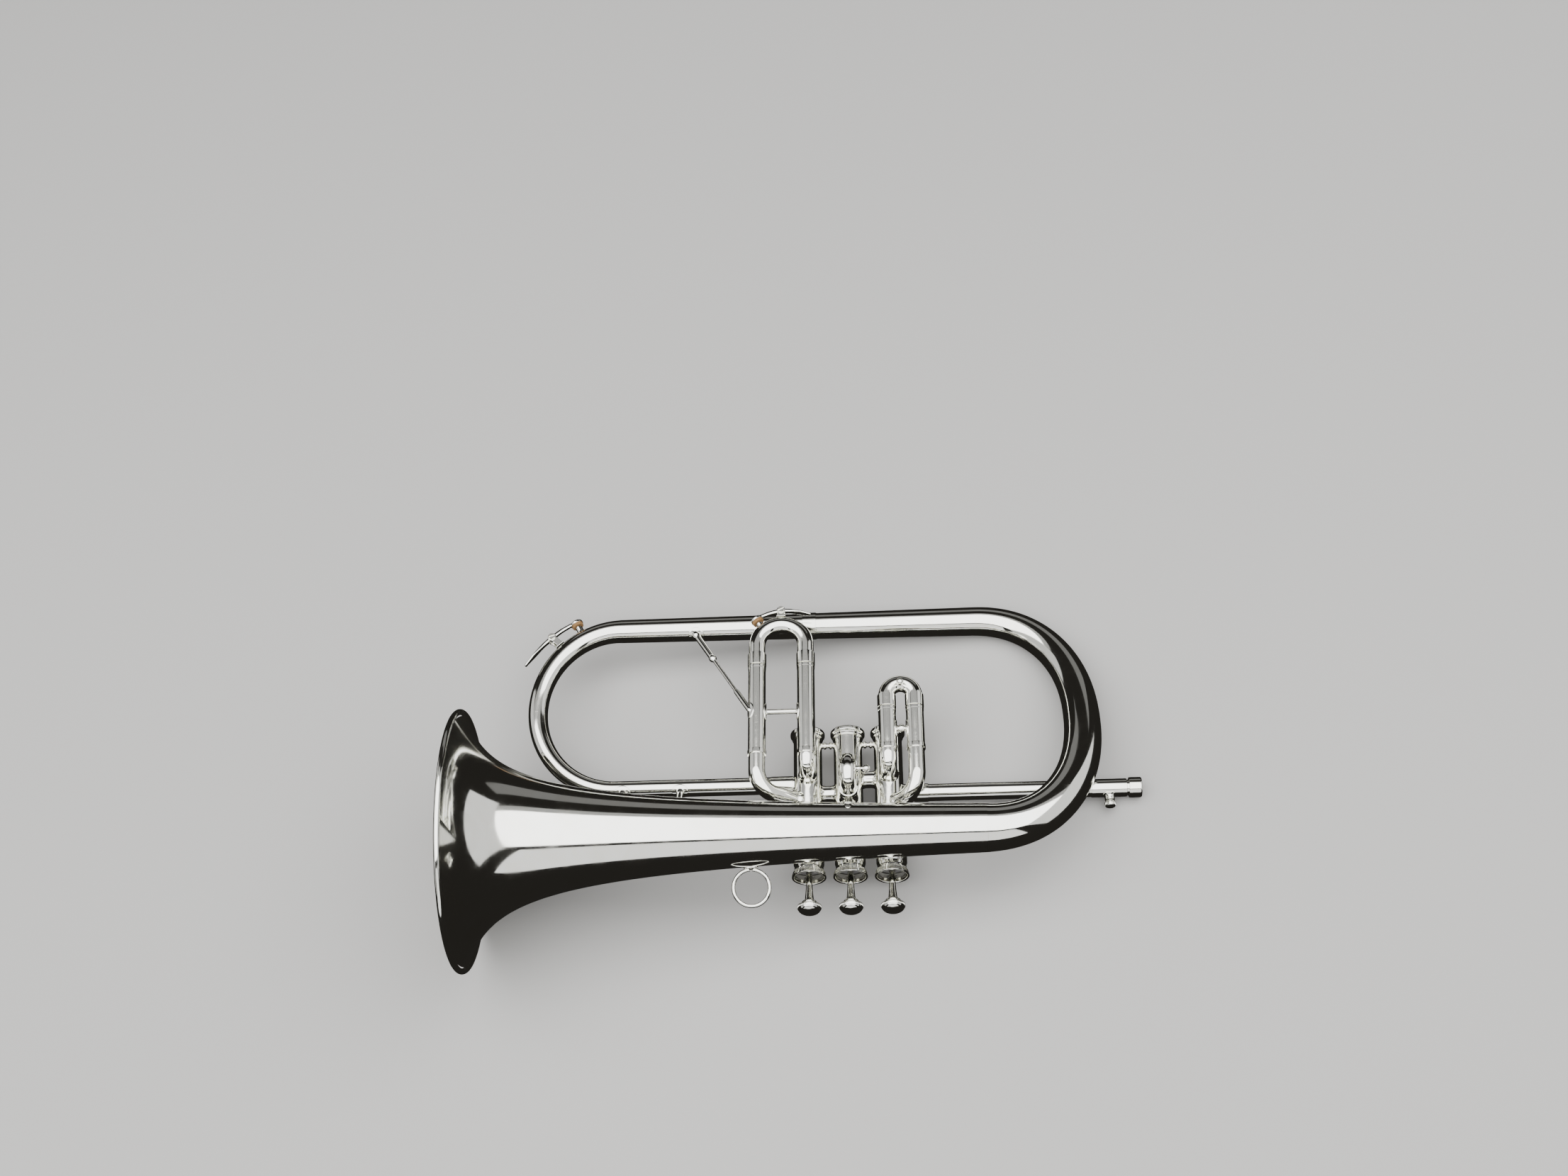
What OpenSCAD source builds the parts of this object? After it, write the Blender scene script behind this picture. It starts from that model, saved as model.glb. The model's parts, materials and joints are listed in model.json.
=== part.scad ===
// Flugelhorn with three piston valves, lying on its side.
// The horn frame has X along the bell axis towards the mouthpiece, Y from the bell towards the
// lower tube, and Z up out of the wrap. Its origin is on the bell axis, level with the middle valve.
// Every piece is built in the horn frame and then laid down on the three points that it rests on.

/* [Bell] */
// Diameter of the bell mouth over its rim bead
bell_d = 160; // [136:1:190]
// From the middle valve to the plane of the bell mouth
bell_reach = 234.5; // [200:0.5:280]
// Depth of the sudden part of the flare
flare_depth = 15.2; // [14:0.1:20]
// How fast the bell narrows behind the mouth
flare_power = 0.54; // [0.52:0.01:0.58]
// Radius of the bead round the rim
bead_r = 1.9; // [1.2:0.1:2.6]
// Sheet thickness of the bell and the bows
sheet = 0.6; // [0.4:0.05:1]

/* [Wrap] */
// From the bell axis across to the lower tube
wrap = 168.5; // [156:0.5:196]
// How far the valves and the small tubes lie below the bell axis
valve_drop = 37; // [35:0.5:44]
// From the middle valve to the joint of the bell and the rear bow
bow_x = 83; // [76:0.5:110]
// How far the rear bow's centre line reaches past that joint
bow_reach = 64.5; // [58:0.5:84]
// Squareness of the rear bow, where 2 is an ellipse
bow_square = 2.2; // [2:0.01:2.6]
// From the middle valve to the start of the front bow
front_x = 148; // [144:0.5:170]
// How far the front bow's centre line reaches past its start
front_reach = 52; // [44:0.5:64]
// Squareness of the front bow, where 2 is an ellipse
front_square = 2; // [1.9:0.01:2.6]
// How evenly both bows narrow along their length, where 1 is even
bow_taper = 0.7; // [0.6:0.05:1]
// From the middle valve to the joint in the lower tube
tube_joint_x = 28; // [15:1:40]

/* [Tubing] */
// Bore of the slides and of the valve ports
bore_d = 9.6; // [9:0.1:10]
// Wall of the plain tubes
tube_wall = 0.45; // [0.4:0.05:0.6]
// Wall of the inner slide tubes
slide_wall = 0.3; // [0.25:0.05:0.4]
// Running gap round each slide tube
slide_gap = 0.05; // [0.03:0.01:0.08]
// Outer diameter of the lower branch where it meets the rear bow
branch_big_d = 18.8; // [17.4:0.2:22]
// Outer diameter of the lower branch at its joint
branch_small_d = 17; // [16.8:0.1:17.4]
// Outer diameter of the lower tube at the same joint
tube_big_d = 16.6; // [16.2:0.1:16.8]
// Outer diameter of the lower tube where it meets the front bow
tube_small_d = 15.4; // [14.6:0.1:16]
// Outer diameter of the exit tube
exit_d = 11; // [10.8:0.1:11.6]
// Gap left for solder where curved pieces meet
solder = 0.1; // [0.05:0.05:0.2]
// How far a ferrule stands out from its tube
ferrule_rise = 0.35; // [0.3:0.05:0.6]
// Length of a ferrule
ferrule_l = 9; // [6:0.5:12]

/* [Valves] */
// Gap between neighbouring valve casings
valve_gap = 7.5; // [7:0.1:12]
// Outer diameter of a valve casing
casing_d = 18; // [17.6:0.1:19]
// Wall of a valve casing
casing_wall = 0.8; // [0.6:0.1:1]
// Running gap round each piston
piston_gap = 0.05; // [0.03:0.01:0.08]
// How far the casings reach past the bell axis on the button side
casing_top = 3; // [1:0.5:8]
// How far the casings reach on the slide side
casing_bottom = 84.5; // [82:0.5:96]
// Travel of a piston
stroke = 16.5; // [16:0.5:17]
// How far the rim of a top cap stands out round its casing
top_cap_rise = 1.75; // [1:0.05:2.5]
// Height of a top cap above its casing
top_cap_h = 10.4; // [9:0.1:12]
// How far the rim of a bottom cap stands out round its casing
bottom_cap_rise = 2; // [1.5:0.1:3]
// How far a bottom cap stands out past its casing
bottom_cap_h = 3.5; // [3:0.5:8]
// Diameter of a valve stem
stem_d = 4.2; // [3.6:0.1:5]
// Diameter of a finger button
button_d = 15; // [13:0.1:15.4]
// Thickness of a finger button over its collar and dome
button_h = 8.6; // [8:0.1:10]
// How far a stem stands out past its top cap
stem_reach = 15.2; // [14.6:0.1:18]

/* [Ports] */
// Height of the leadpipe on the first valve
leadpipe_y = 43.5; // [43:0.5:45]
// Height of the knuckle between the first and second valves
first_knuckle_y = 53.5; // [53:0.5:55]
// Height of the knuckle between the second and third valves
second_knuckle_y = 44; // [43:0.5:45]
// Height of the exit tube on the third valve
exit_y = 51; // [50:0.5:53]
// Height of the slide ports that face up out of the wrap
front_port_y = 53; // [52.5:0.5:53]
// Height of the third valve's slanting slide port
third_port_y = 38; // [35:0.5:38.5]
// Height of the first valve's slanting slide port
first_port_y = 34.5; // [33:0.5:35]
// Heights of the second slide's two legs
second_legs_y = [37.5, 55]; // [36:0.5:58]

/* [Slides] */
// How far the plane of the first and third slides lies above the valve plane
leg_rise = 21.5; // [20:0.5:24]
// Bend radius where a slide leg turns straight into its casing
front_bend = 7.5; // [7:0.5:7.5]
// Bend radius where a slide leg turns across to its casing
side_bend = 13; // [12:0.5:16]
// Height of the rings where the third slide's sleeves start
third_ring_y = 61.5; // [61.5:0.5:68]
// Height of the rings where the first slide's sleeves start
first_ring_y = 63; // [61.5:0.5:68]
// Distance between the third slide's legs
third_spacing = 31.2; // [28:0.1:38]
// Height of the top of the third slide's sleeves
third_sleeve_y = 125.5; // [112:0.5:130]
// Height of the centre of the third slide's bow
third_bow_y = 141; // [138:0.5:146]
// Height of the stay between the third slide's sleeves
third_stay_y = 92.5; // [85:0.5:105]
// Distance between the first slide's legs
first_spacing = 17.5; // [16.8:0.1:22]
// Height of the top of the first slide's sleeves
first_sleeve_y = 92.5; // [88:0.5:92.5]
// Height of the centre of the first slide's bow
first_bow_y = 101.5; // [101.5:0.5:108]
// Height of the stay between the first slide's sleeves
first_stay_y = 78; // [74:0.5:82]
// Length of the second slide's sleeves above the casing
second_sleeve_l = 8; // [7:0.5:12]
// Length of the second slide's ferrules
second_ferrule_l = 3.5; // [2:0.5:6]
// Diameter of a pull knob
knob_d = 4.6; // [3.6:0.1:6]

/* [Leadpipe] */
// From the middle valve to the end of the leadpipe's sleeve
leadpipe_end_x = 173.5; // [164:0.5:200]
// Length of the sleeve at the end of the leadpipe
leadpipe_sleeve_l = 22; // [18:0.5:26]
// From the middle valve to the joint ring on the leadpipe
leadpipe_ring_x = 41; // [38:0.5:60]
// Outer diameter of the leadpipe
leadpipe_d = 10.8; // [10.7:0.1:11.2]
// Outer diameter of the sliding mouthpipe
mouthpipe_d = 9.8; // [9.6:0.1:9.9]
// Diameter of the straight bore that takes the mouthpiece
receiver_d = 9; // [8.8:0.05:9.1]
// Depth of that bore
receiver_l = 22; // [18:0.5:26]
// Bore of the mouthpipe behind the receiver
mouthpipe_bore = 8.4; // [8:0.1:8.6]
// Outer diameter of the receiver collar
collar_d = 12.8; // [12.2:0.1:15]
// Length of the receiver collar
collar_l = 9; // [6:0.5:12]
// Diameter of the lock screw's thread
lock_d = 3; // [2.4:0.1:3.6]
// Diameter of the lock screw's thumb head
lock_head_d = 7; // [6:0.1:9]

/* [Water keys] */
// Place of the front key, as a turn along the front bow from the lower tube
front_key_turn = 42; // [38:1:54]
// Height of the front key's pin above its tube
front_pin_h = 8.4; // [7:0.1:9]
// Height of the third key's pin above its tube
third_pin_h = 4.6; // [4.2:0.1:5.4]
// Diameter of a key's pin
key_pin_d = 1.6; // [1.2:0.1:2]
// Width between the cheeks of a key's saddle
key_gap = 4.4; // [4:0.1:6]
// From the front key's pin to its cork
front_cork_arm = 18; // [16:0.5:19]
// From the front key's pin to the end of its touch
front_touch_arm = 26; // [20:0.5:28]
// From the third key's pin to its cork
third_cork_arm = 14.4; // [12:0.5:15]
// From the third key's pin to the end of its touch
third_touch_arm = 19; // [16:0.5:22]
// Diameter of a key's cork
cork_d = 7.6; // [6:0.1:8]
// Thickness of a key's cork
cork_h = 2.4; // [2:0.1:3]

/* [Fittings] */
// Outer diameter of the little-finger ring
ring_d = 24.2; // [22:0.1:28]
// Wire diameter of that ring
ring_wire = 2.3; // [1.8:0.1:3]
// From the middle valve to the centre of that ring
ring_x = 59.5; // [55:0.5:75]
// How far the ring leans down from level
ring_lean = 27; // [0:1:45]
// Distances from the middle valve to the two stays on the exit tube
stays_x = [106, 142.5]; // [100:0.5:142.5]
// Diameter of the stays' rods
stay_d = 3.6; // [3:0.1:5]
// Diameter of the stays' feet
stay_foot_d = 9; // [7:0.5:11]
// From the middle valve to the foot of the diagonal brace
brace_x = 98; // [90:1:104]
// Height where the diagonal brace meets the third slide
brace_y = 92; // [85:1:105]

/* [Hidden] */
$fn = 64;
silver = [0.8, 0.79, 0.76];
felt_grey = [0.16, 0.155, 0.15];
cork_tan = [0.72, 0.55, 0.36];
spring_grey = [0.55, 0.56, 0.58];
// Gap between pieces of different bodies that don't run on each other
clear = 0.35;
// Amount by which a cutter passes through what it cuts
through = 1;
// Radii of the tubing
bore_r = bore_d / 2;
tube_r = bore_r + tube_wall;
slide_r = bore_r + slide_wall;
sleeve_bore_r = slide_r + slide_gap;
sleeve_r = sleeve_bore_r + tube_wall;
ferrule_r = sleeve_r + ferrule_rise;
// Radii of the valves
casing_r = casing_d / 2;
valve_pitch = casing_d + valve_gap;
top_cap_d = casing_d + 2 * top_cap_rise;
bottom_cap_d = casing_d + 2 * bottom_cap_rise;
cylinder_r = casing_r - casing_wall;
piston_r = cylinder_r - piston_gap;
piston_wall = 0.8;
passage_r = bore_r - 0.5;
// Height of the slides' plane
leg_z = leg_rise - valve_drop;
function valve_x(i) = (2 - i) * valve_pitch;
third_leg_x = valve_x(3) - third_spacing;
first_leg_x = valve_x(1) + first_spacing;
third_bow_r = third_spacing / 2;
first_bow_r = first_spacing / 2;

// Bell curve: radius at a distance s behind the mouth, with its slope
mouth_r = bell_d / 2 - bead_r;
bell_l = bell_reach + bow_x;
function bell_r(s) = mouth_r * pow(1 + s / flare_depth, -flare_power);
function bell_slope(s) = -flare_power / (flare_depth + s) * bell_r(s);
function bell_r_at(x) = bell_r(x + bell_reach);
bell_steps = 40;
bell_edge = (bead_r + solder) / sqrt(1 + pow(bell_slope(0), 2));
function bell_s(k) = bell_edge + (bell_l - bell_edge) * pow(k / bell_steps, 2);
tail_r = bell_r(bell_l);

// Squared ellipse: its coordinate and its tangent, from the sine or cosine of a turn
function swing(c, square) = sign(c) * pow(abs(c), 2 / square);
function swing_way(c, square) = sign(c) * pow(abs(c), 2 - 2 / square);

// Rear bow: half a squared ellipse in a plane that tilts from the bell axis down to the lower branch
bow_span = norm([wrap, valve_drop]);
bow_tilt = atan2(valve_drop, wrap);
function bow_point(turn) = [
    bow_x + bow_reach * swing(sin(turn), bow_square),
    bow_span / 2 * (1 - swing(cos(turn), bow_square))
];
function bow_way(turn) = [
    bow_reach * swing_way(cos(turn), bow_square),
    bow_span / 2 * swing_way(sin(turn), bow_square)
];
function bow_r(turn) = tail_r + (branch_big_d / 2 - tail_r) * pow(turn / 180, bow_taper);
function in_horn(p) = [p.x, p.y * cos(bow_tilt), -p.y * sin(bow_tilt)];

// Front bow: half a squared ellipse in the valve plane, from the lower tube to the exit tube
front_mid = (wrap + exit_y) / 2;
front_half = (wrap - exit_y) / 2;
function front_point(turn) = [
    -front_x - front_reach * swing(sin(turn), front_square),
    front_mid + front_half * swing(cos(turn), front_square)
];
function front_way(turn) = [
    -front_reach * swing_way(cos(turn), front_square),
    -front_half * swing_way(sin(turn), front_square)
];
function front_out(turn) = let (w = front_way(turn)) [w.y, -w.x] / norm(w);
function front_r(turn) = (tube_small_d + (exit_d - tube_small_d) * pow(turn / 180, bow_taper)) / 2;

// Points that the horn rests on: the rim bead, the receiver collar and the underside of the rear bow
collar_x = leadpipe_end_x + clear + collar_l;
bow_rest_turn = 160;
function unit(v) = v / norm(v);
function rim_rest(n) = [-bell_reach, 0, 0] - mouth_r * unit([0, n.y, n.z]) - bead_r * n;
function collar_rest(n) = [collar_x, leadpipe_y, -valve_drop] - collar_d / 2 * unit([0, n.y, n.z]);
function bow_rest(n) = in_horn(bow_point(bow_rest_turn)) - bow_r(bow_rest_turn) * n;
function rest_normal(n) = unit(cross(collar_rest(n) - rim_rest(n), bow_rest(n) - rim_rest(n)));
rest_n = rest_normal(rest_normal(rest_normal([0, 0, 1])));
rest_roll = atan2(rest_n.y, rest_n.z);
rest_pitch = atan2(-rest_n.x, norm([rest_n.y, rest_n.z]));
lift = -(rest_n * rim_rest(rest_n));
// Directions of the lying frame's X and Y, and the extents that centre the horn on its origin
along = [cos(rest_pitch), sin(rest_pitch) * sin(rest_roll), sin(rest_pitch) * cos(rest_roll)];
across = [0, cos(rest_roll), -sin(rest_roll)];
low_x = along * [-bell_reach, 0, 0] - mouth_r * norm([along.y, along.z]) - bead_r;
high_x = along * [collar_x, leadpipe_y, -valve_drop] + collar_d / 2 * norm([along.y, along.z]);
low_y = -bell_d / 2;
high_y = across * [0, wrap, -valve_drop] + branch_big_d / 2;
module laid() {
    translate([-(low_x + high_x) / 2, -(low_y + high_y) / 2, lift])
        rotate([rest_roll, rest_pitch, 0])
            children();
}

// Solids along the horn's axes, and rods from point to point
module along_x(x0, x1, r0, r1) {
    translate([x0, 0, 0])
        rotate([0, 90, 0])
            cylinder(h = x1 - x0, r1 = r0, r2 = r1);
}
module along_y(y0, y1, r) {
    translate([0, y0, 0])
        rotate([-90, 0, 0])
            cylinder(h = y1 - y0, r = r);
}
module pipe_y(y0, y1, r, bore) {
    difference() {
        along_y(y0, y1, r);
        along_y(y0 - through, y1 + through, bore);
    }
}
module turned_y(points) {
    rotate([-90, 0, 0])
        rotate_extrude()
            polygon(points);
}
module rod(from, to, r) {
    way = to - from;
    translate(from)
        rotate([0, acos(way.z / norm(way)), atan2(way.y, way.x)])
            cylinder(h = norm(way), r = r);
}
module half_pipe(bend_r, r, bore, angle) {
    rotate_extrude(angle = angle)
        translate([bend_r, 0])
            difference() {
                circle(r);
                circle(bore);
            }
}
module quarter_rod(bend_r, r) {
    rotate_extrude(angle = 90)
        translate([bend_r, 0])
            circle(r);
}

// Hollow tapered tube swept along a flat curve, as triangles
function flat(lists) = [for (l = lists) for (v = l) v];
function ring(p, way, r, sides) = [
    for (k = [0 : sides - 1])
        let (a = 360 * k / sides, n = [way.y, -way.x] / norm(way))
            [p.x + r * cos(a) * n.x, p.y + r * cos(a) * n.y, -r * sin(a)]
];
function quad(a, b, c, d) = [[a, b, c], [a, c, d]];
module swept_pipe(outer, inner) {
    rings = len(outer);
    sides = len(outer[0]);
    half = rings * sides;
    function at(i, k) = i * sides + k % sides;
    skin = [
        for (i = [0 : rings - 2])
            for (k = [0 : sides - 1])
                quad(at(i, k), at(i + 1, k), at(i + 1, k + 1), at(i, k + 1))
    ];
    lining = [
        for (i = [0 : rings - 2])
            for (k = [0 : sides - 1])
                quad(half + at(i, k), half + at(i, k + 1), half + at(i + 1, k + 1), half + at(i + 1, k))
    ];
    first = [
        for (k = [0 : sides - 1])
            quad(at(0, k), at(0, k + 1), half + at(0, k + 1), half + at(0, k))
    ];
    e = rings - 1;
    last = [
        for (k = [0 : sides - 1])
            quad(at(e, k + 1), at(e, k), half + at(e, k), half + at(e, k + 1))
    ];
    polyhedron(concat(flat(outer), flat(inner)), flat(concat(skin, lining, first, last)));
}

// Body
module bell() {
    outer = [for (k = [0 : bell_steps]) let (s = bell_s(k)) [bell_r(s), s]];
    inner = [
        for (k = [bell_steps - 1 : -1 : 0])
            let (s = bell_s(k), m = bell_slope(s), t = sheet / sqrt(1 + m * m))
                [bell_r(s) - t, s + t * m]
    ];
    color(silver)
        laid()
            translate([-bell_reach, 0, 0])
                rotate([0, 90, 0])
                    rotate_extrude()
                        polygon(concat(outer, [[tail_r - sheet, bell_l]], inner));
}
module bell_rim() {
    color(silver)
        laid()
            translate([-bell_reach, 0, 0])
                rotate([0, 90, 0])
                    rotate_extrude()
                        translate([mouth_r, 0])
                            circle(bead_r);
}
bow_sides = 28;
rear_steps = 30;
front_steps = 32;
module rear_bow() {
    turns = [for (k = [0 : rear_steps]) 180 * k / rear_steps];
    color(silver)
        laid()
            rotate([-bow_tilt, 0, 0])
                swept_pipe(
                    [for (t = turns) ring(bow_point(t), bow_way(t), bow_r(t), bow_sides)],
                    [for (t = turns) ring(bow_point(t), bow_way(t), bow_r(t) - sheet, bow_sides)]
                );
}
module front_bow() {
    turns = [for (k = [0 : front_steps]) 180 * k / front_steps];
    color(silver)
        laid()
            translate([0, 0, -valve_drop])
                swept_pipe(
                    [for (t = turns) ring(front_point(t), front_way(t), front_r(t), bow_sides)],
                    [for (t = turns) ring(front_point(t), front_way(t), front_r(t) - sheet, bow_sides)]
                );
}
module tapered_pipe(x0, x1, d0, d1) {
    difference() {
        along_x(x0, x1, d0 / 2, d1 / 2);
        grow = (d1 - d0) / 2 / (x1 - x0) * through;
        along_x(x0 - through, x1 + through, d0 / 2 - sheet - grow, d1 / 2 - sheet + grow);
    }
}
module lower_branch() {
    color(silver)
        laid()
            translate([0, wrap, -valve_drop])
                tapered_pipe(-tube_joint_x, bow_x, branch_small_d, branch_big_d);
}
module lower_tube() {
    color(silver)
        laid()
            translate([0, wrap, -valve_drop])
                tapered_pipe(-front_x, -tube_joint_x, tube_small_d, tube_big_d);
}
module exit_tube() {
    color(silver)
        laid()
            translate([0, exit_y, -valve_drop])
                difference() {
                    tapered_pipe(-front_x, valve_x(3), exit_d, exit_d);
                    casing_cut(3, exit_y);
                }
}
// Cuts a tube that lies at a height y square to the casing of valve i
module casing_cut(i, y) {
    translate([valve_x(i), 0, 0])
        along_y(-casing_top - y, casing_bottom - y, casing_r + solder);
}
module ferrule_x(x0, l, tube_d) {
    difference() {
        along_x(x0, x0 + l, tube_d / 2 + ferrule_rise, tube_d / 2 + ferrule_rise);
        along_x(x0 - through, x0 + l + through, tube_d / 2 + solder / 2, tube_d / 2 + solder / 2);
    }
}
// Length of the long ferrule where the exit tube meets its casing
exit_ferrule_l = 14;
// Room for the taper of a tube inside its ferrule
taper_room = 0.2;
module tube_ferrules() {
    exit_ferrule_x = valve_x(3) - casing_r - clear - exit_ferrule_l;
    color(silver)
        laid() {
            translate([0, wrap, -valve_drop])
                ferrule_x(-tube_joint_x, ferrule_l, branch_small_d + taper_room);
            translate([0, exit_y, -valve_drop])
                ferrule_x(exit_ferrule_x, exit_ferrule_l, exit_d);
            translate([0, leadpipe_y, -valve_drop])
                ferrule_x(leadpipe_ring_x, ferrule_l, leadpipe_d);
        }
}

// Valves: each port is a heading about the casing's axis and a height along it
function leg_heading(i, leg_x) = atan2(leg_rise, valve_x(i) - leg_x);
up = -90;
function in_port(i) = [0, [leadpipe_y, first_knuckle_y, second_knuckle_y][i - 1]];
function out_port(i) = [180, [first_knuckle_y, second_knuckle_y, exit_y][i - 1]];
function front_port(i) = [up, [front_port_y, second_legs_y[1], front_port_y][i - 1]];
function side_port(i) = [
    [leg_heading(1, first_leg_x) + 180, first_port_y],
    [up, second_legs_y[0]],
    [leg_heading(3, third_leg_x) + 180, third_port_y]
][i - 1];
function ports(i) = [in_port(i), out_port(i), front_port(i), side_port(i)];
// Pairs of ports that the piston joins: straight through at rest, through the slide when pressed
function open_pair(i) = [in_port(i), out_port(i)];
function pressed_pairs(i) = i == 2
    ? [[in_port(i), front_port(i)], [side_port(i), out_port(i)]]
    : [[in_port(i), side_port(i)], [front_port(i), out_port(i)]];
module on_valve(i) {
    color(silver)
        laid()
            translate([valve_x(i), 0, -valve_drop])
                children();
}
module port_hole(port, r, reach) {
    translate([0, port.y, 0])
        rotate([0, port.x, 0])
            along_x(0, reach, r, r);
}
collar_ring_h = 5;
collar_ring_rise = 0.5;
cap_skirt = 2;
module valve_casing(i) {
    on_valve(i)
        difference() {
            union() {
                along_y(-casing_top, casing_bottom, casing_r);
                along_y(-casing_top, collar_ring_h - casing_top, casing_r + collar_ring_rise);
            }
            along_y(-casing_top - through, casing_bottom + through, cylinder_r);
            for (p = ports(i))
                port_hole(p, bore_r, casing_r + through);
        }
}
cap_plate = 1.6;
cap_thread_gap = 0.1;
cap_step = 1.2;
cap_round = 0.8;
cap_vent_r = 1.2;
cap_floor = casing_bottom + bottom_cap_h - cap_plate;
module bottom_caps() {
    rim_r = bottom_cap_d / 2;
    skirt_r = casing_r + cap_thread_gap;
    top = casing_bottom + bottom_cap_h;
    for (i = [1 : 3])
        on_valve(i)
            turned_y([
                [skirt_r, casing_bottom - cap_skirt],
                [rim_r - cap_step, casing_bottom - cap_skirt],
                [rim_r - cap_step, casing_bottom],
                [rim_r, casing_bottom + cap_round],
                [rim_r, top - cap_round],
                [rim_r - cap_round, top],
                [cap_vent_r, top],
                [cap_vent_r, cap_floor],
                [cylinder_r, cap_floor],
                [cylinder_r, casing_bottom],
                [skirt_r, casing_bottom]
            ]);
}
top_rim_y = -casing_top - top_cap_h;
recess_floor = -casing_top - cap_plate;
recess_r = button_d / 2 + 2 * clear;
spigot_l = 4;
spigot_wall = 0.8;
top_rim_h = 4.2;
top_rim_wall = 1.3;
top_lip = 0.5;
module top_caps() {
    rim_r = top_cap_d / 2;
    stem_hole_r = stem_d / 2 + clear;
    spigot_r = cylinder_r - cap_thread_gap;
    for (i = [1 : 3])
        on_valve(i)
            turned_y([
                [rim_r - top_lip, top_rim_y],
                [rim_r, top_rim_y + top_lip],
                [rim_r, top_rim_y + top_rim_h],
                [rim_r - top_lip, top_rim_y + top_rim_h + top_lip],
                [casing_r, recess_floor],
                [casing_r, -casing_top],
                [spigot_r, -casing_top],
                [spigot_r, spigot_l - casing_top],
                [spigot_r - spigot_wall, spigot_l - casing_top],
                [spigot_r - spigot_wall, -casing_top],
                [stem_hole_r, -casing_top],
                [stem_hole_r, recess_floor],
                [recess_r, recess_floor],
                [rim_r - top_rim_wall, top_rim_y]
            ]);
}
cap_felt_h = 3;
module cap_felts() {
    color(felt_grey)
        laid()
            for (i = [1 : 3])
                translate([valve_x(i), 0, -valve_drop])
                    pipe_y(recess_floor - cap_felt_h, recess_floor, recess_r - clear, stem_d / 2 + clear);
}
// Piston: a core with its passages, from its top under the spigot to its skirt round the spring
piston_top = spigot_l - casing_top + clear;
seat_y = 62.7;
piston_skirt = 4;
piston_end = seat_y + piston_skirt;
// A passage is drilled straight through, or as a knee of two bores, the second one a little finer
knee_step = 0.15;
module passage(pair, shift, r) {
    mid = [0, (pair[0].y + pair[1].y) / 2 + shift, 0];
    reach = piston_r + through;
    ends = [for (p = pair) [reach * cos(p.x), p.y + shift, -reach * sin(p.x)]];
    if (cos(pair[0].x - pair[1].x) < -0.99)
        rod(ends[0], ends[1], r);
    else {
        rod(ends[0], mid + r * unit(mid - ends[0]), r);
        rod(mid, ends[1], r - knee_step);
    }
}
module piston(i) {
    on_valve(i)
        difference() {
            turned_y([
                [0, piston_top],
                [piston_r, piston_top],
                [piston_r, piston_end],
                [piston_r - piston_wall, piston_end],
                [piston_r - piston_wall, seat_y],
                [0, seat_y]
            ]);
            passage(open_pair(i), 0, passage_r);
            for (pair = pressed_pairs(i))
                passage(pair, -stroke, passage_r);
        }
}
piston_felt_r = cylinder_r - cap_thread_gap - spigot_wall - clear;
module piston_felt(i) {
    color(felt_grey)
        laid()
            translate([valve_x(i), 0, -valve_drop])
                pipe_y(clear - casing_top, piston_top, piston_felt_r, stem_d / 2 + solder);
}
// After one stroke the button's disc is still clear of the rim of its cap
button_y = top_rim_y - stem_reach;
module valve_stem(i) {
    on_valve(i)
        along_y(button_y, piston_top, stem_d / 2);
}
// It is turned as a cone, a collar, a groove and a disc with a domed face
button_root = 0.6;
button_cone_h = 0.6;
button_collar_h = 1.6;
button_collar_r = 4.6;
button_groove_h = 0.4;
button_groove_r = 4.1;
button_dome_h = 3.2;
button_edge = 0.7;
module finger_button(i) {
    r = button_d / 2;
    collar_y = button_y - button_cone_h - button_collar_h;
    end = button_y - button_h;
    on_valve(i)
        turned_y([
            [0, button_y],
            [stem_d / 2 + button_root, button_y],
            [button_collar_r, button_y - button_cone_h],
            [button_collar_r, collar_y],
            [button_groove_r, collar_y - button_groove_h],
            [r, collar_y - 2 * button_groove_h],
            [r, end + button_dome_h],
            [r - button_edge, end + button_dome_h - 1.5 * button_edge],
            [button_collar_r, end + button_edge],
            [0, end]
        ]);
}
// Spring: a helix of round wire between the piston's seat and the floor of the bottom cap
spring_wire = 1;
spring_turns = 6;
spring_rings = 8;
spring_sides = 6;
spring_coil_r = 5.6;
module valve_spring(i) {
    start = seat_y + spring_wire / 2;
    end = cap_floor - spring_wire / 2;
    steps = spring_turns * spring_rings;
    wire = [
        for (k = [0 : steps])
            let (a = 360 * k / spring_rings)
                [
                    for (j = [0 : spring_sides - 1])
                        let (
                            b = 360 * j / spring_sides,
                            r = spring_coil_r + spring_wire / 2 * cos(b),
                            y = start + (end - start) * k / steps + spring_wire / 2 * sin(b)
                        )
                            [r * cos(a), y, r * sin(a)]
                ]
    ];
    color(spring_grey)
        laid()
            translate([valve_x(i), 0, -valve_drop])
                swept_wire(wire);
}
module swept_wire(wire) {
    sides = len(wire[0]);
    steps = len(wire) - 1;
    function at(i, k) = i * sides + k % sides;
    skin = [
        for (i = [0 : steps - 1])
            for (k = [0 : sides - 1])
                quad(at(i, k), at(i + 1, k), at(i + 1, k + 1), at(i, k + 1))
    ];
    first = [for (k = [1 : sides - 2]) [[at(0, 0), at(0, k), at(0, k + 1)]]];
    last = [for (k = [1 : sides - 2]) [[at(steps, 0), at(steps, k + 1), at(steps, k)]]];
    polyhedron(flat(wire), flat(concat(skin, first, last)));
}
module valve_knuckles() {
    for (i = [1, 2])
        color(silver)
            laid()
                translate([0, out_port(i).y, -valve_drop])
                    difference() {
                        along_x(valve_x(i + 1), valve_x(i), tube_r, tube_r);
                        along_x(valve_x(i + 1) - through, valve_x(i) + through, bore_r, bore_r);
                        casing_cut(i, out_port(i).y);
                        casing_cut(i + 1, out_port(i).y);
                    }
}
brace_rod_r = 1.6;
brace_bead_r = 2.6;
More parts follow.
